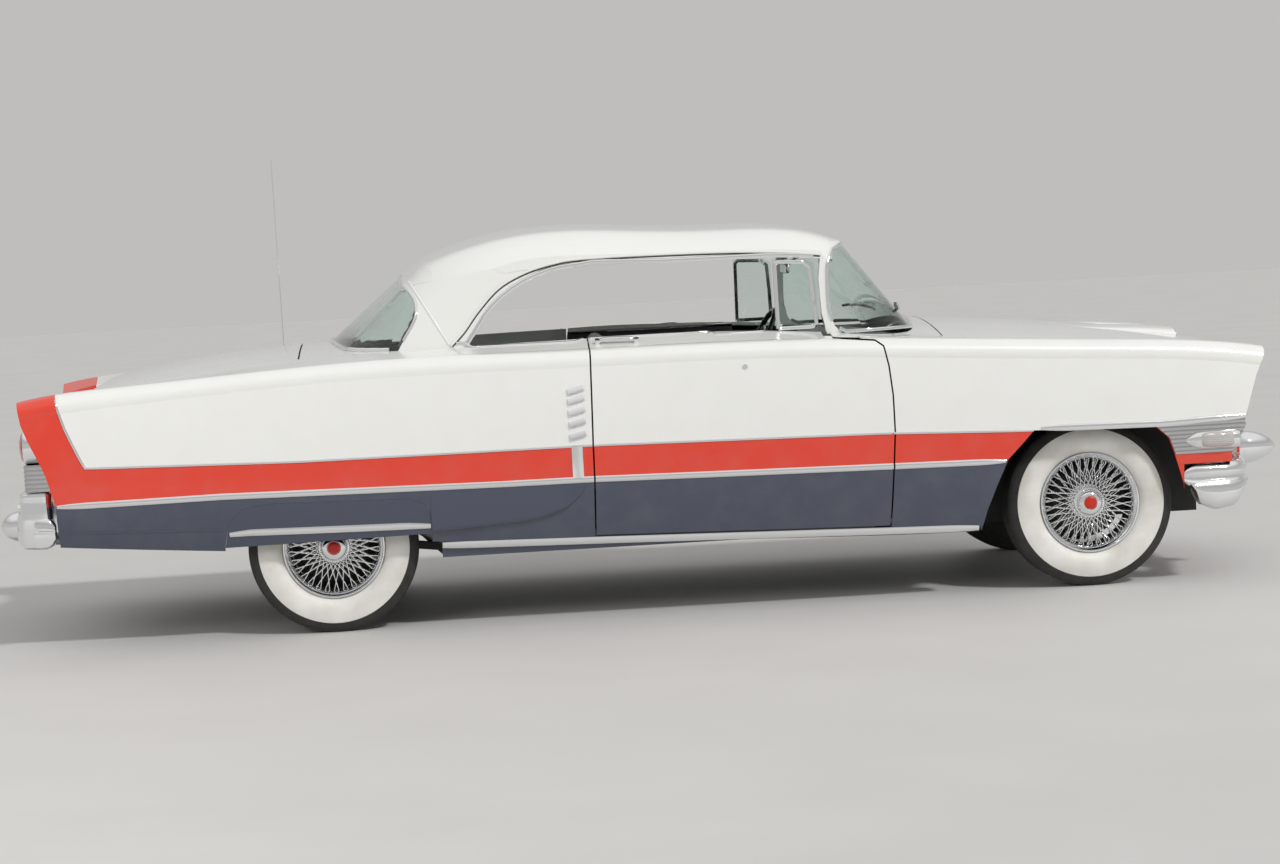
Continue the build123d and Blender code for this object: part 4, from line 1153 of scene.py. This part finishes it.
def add_hood_scoops():
    tree = surface("hood")
    centre_y, reach = 0.3, 0.115
    rings = []
    for i, x in enumerate(spread(1.8, 2.38, 25)):
        share = i / 24
        high = 0.034 * share ** 1.5 + 0.0005
        wide = reach * (0.55 + 0.45 * share ** 0.7)
        ring = []
        for step in range(25):
            angle = pi * step / 24
            y = centre_y - wide * cos(angle)
            base = cast(tree, (x, y, ABOVE), -Z_AXIS)[0].z
            ring.append(Vector((x, y, base - 0.002 + high * sin(angle) ** 0.75)))
        rings.append(ring)
    front = rings[-1]
    lip = [p + Vector((0.006, 0, -0.003)) for p in front]
    inner = [Vector((p.x - 0.004, centre_y + (p.y - centre_y) * 0.93, p.z - 0.006))
             for p in lip]
    deep = [p + Vector((-0.05, 0, -0.004)) for p in inner]
    shape = skin(rings, closed=False)
    make_pair("hood_scoop", shape, PAINT_WHITE, "hood")
    mouth_shape = skin([front, lip, inner], closed=False)
    # The inside of the mouth and the sheet that closes it are near-black painted shade
    mouth_shape.join(skin([inner, deep], closed=False), finish=1)
    mouth_shape.join(Shape(deep, [range(len(deep))]), finish=1)
    make_pair("scoop_mouth", mouth_shape, [CHROME, RECESS_SHADE], "hood")


def add_wipers():
    tree = surface("windshield_glass")
    for label, pivot_y, tip_y in (("left", 0.33, 0.69), ("right", -0.1, -0.64)):
        arm, blade_line, normals = [], [], []
        for i, y in enumerate(spread(pivot_y, tip_y, 13)):
            z = 1.205 + 0.012 * sin(pi * i / 12)
            spot = cast(tree, (2.2, y, z + 0.012), -X_AXIS)
            if not spot:
                continue
            blade_line.append(spot[0] + spot[1] * 0.006)
            normals.append(spot[1])
            if i <= 7:
                arm.append(spot[0] + spot[1] * (0.022 - 0.001 * i) + Vector((0, 0, 0.004)))
        shape = Shape().join(swept(blade_line, normals, WIPER_SECTION), finish=1)
        shape.join(tube(arm, 0.004))
        shape.join(tube([arm[0] + Vector((0.006, 0, -0.03)), arm[0] + Vector((0, 0, 0.006))],
                        0.011, 14, X_AXIS))
        make(f"wiper_{label}", shape, [CHROME, BLACK])


add_hood_scoops()
add_wipers()


# Seats

SEAT_VOXEL = 0.013
SEAT_SWELL = 0.014
CHANNEL_PITCH = 0.082
CHANNEL_WIDTH = 0.016
PIPING = 0.012


def cushion_shape(outline, y0, y1, corner):
    """A prism of a side outline (x, z) with rounded ends."""
    loop = curve(standing((*outline, outline[0])), 6)[:-1]
    centre = sum(loop, Vector()) / len(loop)
    ends = [(y0 + corner * (1 - cos(pi / 2 * i / 6)), sin(pi / 2 * i / 6)) for i in range(7)]
    ends += [(y0 + (y1 - y0) * share, 1.0) for share in (0.25, 0.5, 0.75)]
    ends += [(y1 - (y - y0), size) for y, size in reversed(ends[:7])]
    rings = []
    for y, size in ends:
        keep = 0.8 + 0.2 * size
        rings.append([Vector((centre.x + (p.x - centre.x) * keep, y,
                              centre.z + (p.z - centre.z) * keep)) for p in loop])
    return skin(rings)


def modified(piece, kind, **settings):
    """A piece with one modifier worked into its mesh."""
    modifier = piece.modifiers.new(kind.lower(), kind)
    for key, value in settings.items():
        setattr(modifier, key, value)
    graph = bpy.context.evaluated_depsgraph_get()
    mesh = bpy.data.meshes.new_from_object(piece.evaluated_get(graph))
    piece.modifiers.clear()
    piece.data = mesh


def plump(pieces):
    """Lets air pressure swell the cushions like cloth covers, up to a limit."""
    scene = bpy.context.scene
    for piece in pieces:
        modified(piece, "REMESH", mode="VOXEL", voxel_size=SEAT_VOXEL)
        settings = piece.modifiers.new("cloth", "CLOTH").settings
        settings.use_pressure = True
        settings.uniform_pressure_force = 4
        settings.effector_weights.gravity = 0
    for number in range(1, 21):
        scene.frame_set(number)
    graph = bpy.context.evaluated_depsgraph_get()
    for piece in pieces:
        swollen = [v.co.copy() for v in piece.evaluated_get(graph).data.vertices]
        piece.modifiers.clear()
        for vertex, end in zip(piece.data.vertices, swollen):
            move = end - vertex.co
            vertex.co += move * (SEAT_SWELL / max(move.length, SEAT_SWELL))
        modified(piece, "SUBSURF", levels=1, render_levels=1)
    scene.frame_set(1)


def sew(piece, facing, low, high):
    """Sewn channels and a white insert on the faces that look one way."""
    mesh = piece.data
    facing = Vector(facing).normalized()
    mesh.materials.clear()
    for material in (BLACK_LEATHER, WHITE_LEATHER):
        mesh.materials.append(material)
    mesh.update()
    normals = [v.normal.copy() for v in mesh.vertices]
    for vertex, normal in zip(mesh.vertices, normals):
        spot = vertex.co
        depth = min(min(spot[i] - low[i], high[i] - spot[i]) for i in range(3))
        if normal.dot(facing) >= 0.45 and depth > -PIPING:
            nearest = (spot.y / CHANNEL_PITCH - 0.5) % 1.0
            distance = min(nearest, 1 - nearest) * CHANNEL_PITCH
            sewn = distance < CHANNEL_WIDTH and depth > 0
            groove = 0.009 * (1 - distance / CHANNEL_WIDTH) if sewn else 0
            rim = 0.007 * (1 - abs(depth) / PIPING) if abs(depth) < PIPING else 0
            vertex.co -= normal * max(groove, rim)
    for polygon in mesh.polygons:
        centre = polygon.center
        if (all(low[i] < centre[i] < high[i] for i in range(3))
                and polygon.normal.dot(facing) > 0.3):
            polygon.material_index = 1
        polygon.use_smooth = True


def add_seats():
    front_base = ((-0.092, 0.43), (-0.095, 0.585), (0.05, 0.592), (0.3, 0.612),
                  (0.48, 0.622), (0.54, 0.59), (0.548, 0.5), (0.5, 0.425))
    front_back = ((-0.105, 0.625), (0.0, 0.64), (-0.02, 0.85), (-0.078, 1.1),
                  (-0.112, 1.16), (-0.152, 1.155), (-0.168, 1.1), (-0.148, 0.85))
    rear_base = ((-0.99, 0.58), (-0.8, 0.43), (-0.53, 0.412), (-0.498, 0.54),
                 (-0.54, 0.59), (-0.76, 0.592))
    rear_back = ((-1.068, 0.625), (-0.975, 0.64), (-1.02, 0.85), (-1.09, 1.045),
                 (-1.13, 1.068), (-1.17, 1.062), (-1.184, 1.03), (-1.135, 0.82))
    parts = (
        ("front_seat_cushion", front_base, -0.665, 0.665, (0, 0, 1),
         ((0.02, -0.58, 0.4), (0.46, 0.58, 0.8)), 0.06),
        ("front_seat_back_left", front_back, 0.012, 0.665, (1, 0, 0.25),
         ((-0.2, 0.07, 0.7), (0.1, 0.6, 1.11)), 0.05),
        ("front_seat_back_right", front_back, -0.665, -0.012, (1, 0, 0.25),
         ((-0.2, -0.6, 0.7), (0.1, -0.07, 1.11)), 0.05),
        ("rear_seat_cushion", rear_base, -0.59, 0.59, (0, 0, 1),
         ((-0.97, -0.52, 0.4), (-0.56, 0.52, 0.8)), 0.05),
        ("rear_seat_back", rear_back, -0.59, 0.59, (1, 0, 0.35),
         ((-1.3, -0.52, 0.68), (-0.9, 0.52, 1.01)), 0.05),
    )
    pieces = []
    for name, outline, y0, y1, _, _, corner in parts:
        shape = cushion_shape(outline, y0, y1, corner)
        pieces.append(make(name, shape, BLACK_LEATHER))
    plump(pieces)
    for piece, (_, _, _, _, facing, (low, high), _) in zip(pieces, parts):
        sew(piece, facing, low, high)
    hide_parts("front_seat")
    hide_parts("rear_seat")
    plinth = block((-0.08, -0.64, 0.372), (0.48, 0.64, 0.44), 0.02)
    plinth.join(block((-0.78, -0.6, 0.372), (-0.52, 0.6, 0.43), 0.02))
    make("seat_plinths", plinth, BLACK)


add_seats()


# Dashboard and steering wheel

DASH_FACE_X = 0.842
SPOKE_SECTION = ((-0.014, -0.005), (-0.01, 0.004), (0.01, 0.004), (0.014, -0.005))

def facing_driver(shape, y, z, size=1.0):
    """A shape made about the X axis, set on the dashboard to look back at the driver."""
    turn = Matrix.Rotation(pi, 4, "Z") @ Matrix.Diagonal((1, size, size, 1))
    return shape.placed(Matrix.Translation((DASH_FACE_X, y, z)) @ turn)


def add_dashboard():
    dial = turned(((-0.004, 0.062), (0.01, 0.062), (0.014, 0.058), (0.01, 0.054),
                   (0.002, 0.053), (-0.004, 0.053)), 40, "X", closed=True)
    dial.join(turned(((0.003, 0.053), (0.004, 0.0005)), 40, "X"), finish=1)
    for i in range(12):
        angle = tau * (i / 12 + 0.02)
        mark = [Vector((0.0046, r * cos(angle), r * sin(angle)))
                for r in (0.05, 0.04 if i % 3 else 0.036)]
        dial.join(tube(mark, 0.0008, 4, X_AXIS), finish=2)
    needle = [Vector((0.006, 0, 0)), Vector((0.006, -0.026, 0.03))]
    dial.join(tube(needle, 0.001, 4, X_AXIS), finish=3)
    dials = Shape()
    for y, size in ((0.47, 1.0), (0.29, 1.0), (0.0, 0.75)):
        dials.join(facing_driver(dial, y, 1.02, size))
    make("dash_dials", dials, [CHROME, BLACK, PAINT_WHITE, RED_DISC])

    trim = Shape()
    for z in (1.092, 0.945):
        trim.join(tube([Vector((0.846, -0.7, z)), Vector((0.846, 0.7, z))], 0.006, 10))
    for y in spread(-0.64, -0.22, 30):
        trim.join(tube([Vector((0.845, y, 0.957)), Vector((0.842, y, 1.08))], 0.0028, 6, Y_AXIS))
    make("dash_trim", trim, CHROME)

    knob = turned(((-0.006, 0.01), (0.006, 0.01), (0.008, 0.015), (0.02, 0.015),
                   (0.024, 0.011), (0.025, 0.0005)), 20, "X")
    knobs = Shape()
    for y in (0.1, 0.15, -0.1, -0.15, 0.6):
        knobs.join(facing_driver(knob, y, 0.985))
    make("dash_knobs", knobs, CHROME)

    section = ((0.838, 1.096), (0.842, 1.112), (0.862, 1.121), (0.9, 1.123), (1.08, 1.119),
               (1.08, 1.113), (0.9, 1.115), (0.852, 1.094))
    pad = skin([[Vector((x, y, z)) for x, z in section] for y in spread(-0.705, 0.705, 25)])
    make("dash_pad", pad, BLACK_LEATHER)


def hoop(x, radius, bar, steps, sides, deep=1.0, knurl=0.0):
    """A ring about the X axis, from a bar that can be deeper than wide and knurled."""
    rings = []
    for i in range(steps):
        angle = tau * i / steps
        grip = bar + knurl * cos(24 * angle)
        ring = []
        for k in range(sides):
            turn = tau * k / sides
            out = radius + grip * sin(turn)
            ring.append(Vector((x + grip * deep * cos(turn), out * cos(angle),
                                out * sin(angle))))
        rings.append(ring)
    return skin(rings, ends=False, loop=True)


def add_steering_wheel():
    toward = -STEERING_AXIS.normalized()
    upward = toward.cross(Y_AXIS).normalized()
    if upward.z < 0:
        upward = -upward
    side = upward.cross(toward)
    wheel = hoop(0, 0.205, 0.011, 72, 12, deep=1.1, knurl=0.0012)
    for y, z in ((1, 0), (-1, 0), (0, -1)):
        middle = 0.006 if y else 0
        spokes = [Vector((-0.006, 0.035 * y, 0.035 * z)),
                  Vector((-0.004, 0.11 * y, 0.11 * z + middle)),
                  Vector((0, 0.204 * y, 0.204 * z))]
        line = curve(spokes, 5)
        wheel.join(swept(line, [X_AXIS] * len(line), SPOKE_SECTION))
    wheel.join(hoop(0.008, 0.12, 0.004, 60, 8), finish=1)
    hub = ((-0.036, 0.04), (-0.01, 0.046), (0.006, 0.046), (0.014, 0.042), (0.02, 0.03),
           (0.022, 0.0005))
    wheel.join(turned(hub, 40, "X"), finish=1)
    disc = ((0.0215, 0.018), (0.0245, 0.016), (0.0255, 0.0005))
    wheel.join(turned(disc, 24, "X"), finish=2)
    placed = wheel.placed(axes_at(STEERING_CENTRE, toward, side, upward))
    piece = make("steering_wheel_dressed", placed, [PLASTIC, CHROME, RED_DISC],
                 "steering_wheel")
    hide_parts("steering_wheel")


add_dashboard()
add_steering_wheel()


# Door panels, carpets and headliner

def laid(tree, xs, ys, start_z, way, gap):
    """A grid laid a gap away from the first surface that rays meet."""
    grid = {}
    for i, x in enumerate(xs):
        for j, y in enumerate(ys):
            spot = cast(tree, (x, y, start_z), Z_AXIS * way)
            if spot and abs(spot[0].z - start_z) <= 0.6:
                grid[i, j] = spot[0] - Z_AXIS * (way * gap)
    index, verts, faces = {}, [], []
    for i in range(len(xs) - 1):
        for j in range(len(ys) - 1):
            corners = ((i, j), (i, j + 1), (i + 1, j + 1), (i + 1, j))
            if all(corner in grid for corner in corners):
                for corner in corners:
                    if corner not in index:
                        index[corner] = len(verts)
                        verts.append(grid[corner])
                faces.append([index[corner] for corner in corners])
    return Shape(verts, faces)


def add_floor_and_roof_lining():
    floor_tree = surface("floor_pan")
    carpet = laid(floor_tree, spread(-0.48, 1.02, 60), spread(-0.66, 0.66, 60), 0.8, -1, 0.006)
    make("carpet", carpet, CARPET)
    mat = laid(floor_tree, spread(-2.36, -1.46, 30), spread(-0.56, 0.56, 30), 0.9, -1, 0.006)
    make("trunk_mat", mat, CARPET)
    lining = laid(surface("roof"), spread(-0.82, 0.8, 40), spread(-0.6, 0.6, 36), 1.3, 1,
                  0.004)
    make("headliner", lining, HEADLINER)


def add_door_panels():
    x0, x1, face_y = -0.215, 0.88, 0.853
    rings = []
    for row, z in enumerate(spread(0.43, 1.085, 21)):
        tuft = 0.004 if 8 < row < 18 else 0.0
        rings.append([Vector((x, face_y - tuft * abs(sin(pi * (x - x0) / 0.11)), z))
                      for x in spread(x0, x1, 41)])
    panel = skin(rings, closed=False)
    panel.finishes = [1 if 8 <= i // 40 < 18 else 0 for i in range(len(panel.faces))]
    make_pair("door_trim_panel", panel, [BLACK_LEATHER, WHITE_LEATHER], "door_{}")
    bars = Shape()
    for z in (0.7, 1.01):
        bars.join(tube([Vector((x0 + 0.01, face_y - 0.003, z)),
                        Vector((x1 - 0.01, face_y - 0.003, z))], 0.005, 8, Y_AXIS))
    bars.join(tube(curve([(0.15, face_y - 0.002, 0.88), (0.17, face_y - 0.04, 0.885),
                          (0.38, face_y - 0.04, 0.9), (0.4, face_y - 0.002, 0.905)], 6),
                   0.011, 10, Y_AXIS))
    for x, z in ((0.62, 0.93), (0.56, 0.8)):
        foot = Vector((x, face_y, z))
        bars.join(tube([foot, foot - Y_AXIS * 0.03], 0.012, 12, X_AXIS))
        bars.join(tube([foot - Y_AXIS * 0.028, foot - Vector((0.07, 0.036, 0.02))], 0.006, 8,
                       Y_AXIS))
    make_pair("door_trim_bars", bars, CHROME, "door_{}")


def add_door_caps():
    cap = block((DOOR_REAR_X + 0.01, 0.764, 1.11), (0.54, 0.771, 1.15), 0.003)
    make_pair("door_top_cap", cap, BLACK_LEATHER, "door_{}")
    strip = tube([Vector((DOOR_REAR_X + 0.012, 0.766, 1.156)),
                               Vector((0.54, 0.766, 1.156))], 0.006, 8, Y_AXIS)
    make_pair("door_top_strip", strip, CHROME, "door_{}")


def add_mirror_and_visors():
    mirror = block((0.7, -0.11, 1.395), (0.716, 0.11, 1.445), 0.007)
    make("rear_view_mirror", mirror, STEEL)
    stalk = tube(curve([(0.716, 0, 1.42), (0.745, 0, 1.45), (0.8, 0, 1.48)],
                                    5), 0.006, 10)
    make("mirror_stalk", stalk, CHROME)
    visor = block((0.64, 0.1, 1.508), (0.79, 0.56, 1.52), 0.006)
    make_pair("sun_visor", visor, HEADLINER)


add_floor_and_roof_lining()
add_door_panels()
add_door_caps()
add_mirror_and_visors()


# Engine bay

def add_engine_details():
    over_engine = Matrix.Translation((1.64, 0, 0))
    cleaner = turned(((0.958, 0.06), (0.962, 0.165), (0.972, 0.178), (1.004, 0.178),
                      (1.014, 0.168), (1.018, 0.1), (1.022, 0.03), (1.03, 0.024),
                      (1.032, 0.0005)), 48, "Z")
    make("air_cleaner", cleaner.placed(over_engine), PLASTIC)
    nut = turned(((1.028, 0.016), (1.044, 0.016), (1.048, 0.01), (1.049, 0.0005)), 6, "Z")
    make("air_cleaner_nut", nut.placed(over_engine), CHROME, sharp=20)
    battery = block((1.9, 0.3, 0.78), (2.12, 0.448, 0.96), 0.008)
    for i in range(6):
        cell = Vector((1.925 + 0.034 * i, 0.374, 0.96))
        battery.join(tube([cell, cell + Z_AXIS * 0.008], 0.009, 10, X_AXIS))
    make("battery", battery, BLACK)


add_engine_details()


# Camera, floor and light

FLOOR_REACH = 60
SKY_LEVEL = 0.5
SENSOR_WIDTH = 36
FOCAL_PIXELS = 2996.23
PHOTO_WIDTH_PIXELS = 1280
CAMERA_PLACE = Vector((-1.0052, -13.4328, 1.5878))
CAMERA_RIGHT = Vector((0.9955, -0.07911, -0.05215))
CAMERA_UP = Vector((0.05701, 0.06038, 0.99655))
CAMERA_BACK = Vector((-0.07568, -0.99504, 0.06462))


def add_floor():
    mesh = bpy.data.meshes.new("floor")
    corners = [(x * FLOOR_REACH, y * FLOOR_REACH, 0) for x, y in
               ((-1, -1), (1, -1), (1, 1), (-1, 1))]
    mesh.from_pydata(corners, [], [(0, 1, 2, 3)])
    f = Finish("floor_pale", (0.62, 0.61, 0.59), 0.6)
    f.base(f.colour(f.noise(1.2, 6), (0.58, 0.57, 0.55), (0.66, 0.65, 0.63)))
    mesh.materials.append(f.material)
    floor = bpy.data.objects.new("floor", mesh)
    bpy.context.scene.collection.objects.link(floor)


def add_world():
    """White light from all round. Metal, glass and the camera see a backdrop like the floor."""
    world = bpy.data.worlds.new("studio")
    bpy.context.scene.world = world
    g = Graph(world)
    direction = g.node("SeparateXYZ", {0: g.node("TexCoord").outputs["Generated"]})
    ramp = g.node("ValToRGB", {0: direction.outputs["Z"]})
    stops = ((0.0, 0.515), (0.22, 0.515), (0.45, 0.42), (0.75, 0.8))
    for place, _ in stops[2:]:
        ramp.color_ramp.elements.new(place)
    for element, (place, level) in zip(ramp.color_ramp.elements, stops):
        element.position = place
        element.color = (level * 1.01, level, level * 0.985, 1)
    backdrop = g.node("Background", {0: ramp.outputs[0]})
    rays = g.node("LightPath").outputs
    seen = rays["Is Camera Ray"]
    for kind in ("Is Glossy Ray", "Is Transmission Ray"):
        seen = g.node("Math", {0: seen, 1: rays[kind]}, use_clamp=True).outputs[0]
    light = g.nodes["Background"]
    light.inputs["Color"].default_value = (1, 1, 1, 1)
    light.inputs["Strength"].default_value = SKY_LEVEL
    mix = g.node("MixShader", {0: seen, 1: light.outputs[0], 2: backdrop.outputs[0]})
    g.links.new(mix.outputs[0], g.nodes["World Output"].inputs[0])


def add_light(name, kind, place, aim, power, size):
    data = bpy.data.lights.new(name, kind)
    data.energy = power
    if kind == "AREA":
        data.shape = "RECTANGLE"
        data.size = size
        data.size_y = size * 0.5
    else:
        data.angle = size
    lamp = bpy.data.objects.new(name, data)
    lamp.location = place
    lamp.rotation_euler = (Vector(aim) - Vector(place)).to_track_quat("-Z", "Y").to_euler()
    lamp.visible_glossy = kind == "SUN"
    bpy.context.scene.collection.objects.link(lamp)


def add_camera():
    data = bpy.data.cameras.new("camera")
    data.sensor_width = SENSOR_WIDTH
    data.lens = SENSOR_WIDTH * FOCAL_PIXELS / PHOTO_WIDTH_PIXELS
    data.clip_end = 200
    camera = bpy.data.objects.new("camera", data)
    camera.matrix_world = axes_at(CAMERA_PLACE, CAMERA_RIGHT, CAMERA_UP, CAMERA_BACK)
    bpy.context.scene.collection.objects.link(camera)
    bpy.context.scene.camera = camera
    bpy.context.scene.view_settings.view_transform = "Standard"


add_floor()
add_world()
add_light("key", "SUN", (5, -7, 9), (0, 0, 0.6), 1.5, 0.1)
add_light("fill", "AREA", (-6, -7, 4), (-1, 0, 0.7), 150, 5)
add_light("front", "AREA", (8, -3, 3), (2, 0, 0.6), 100, 4)
add_camera()
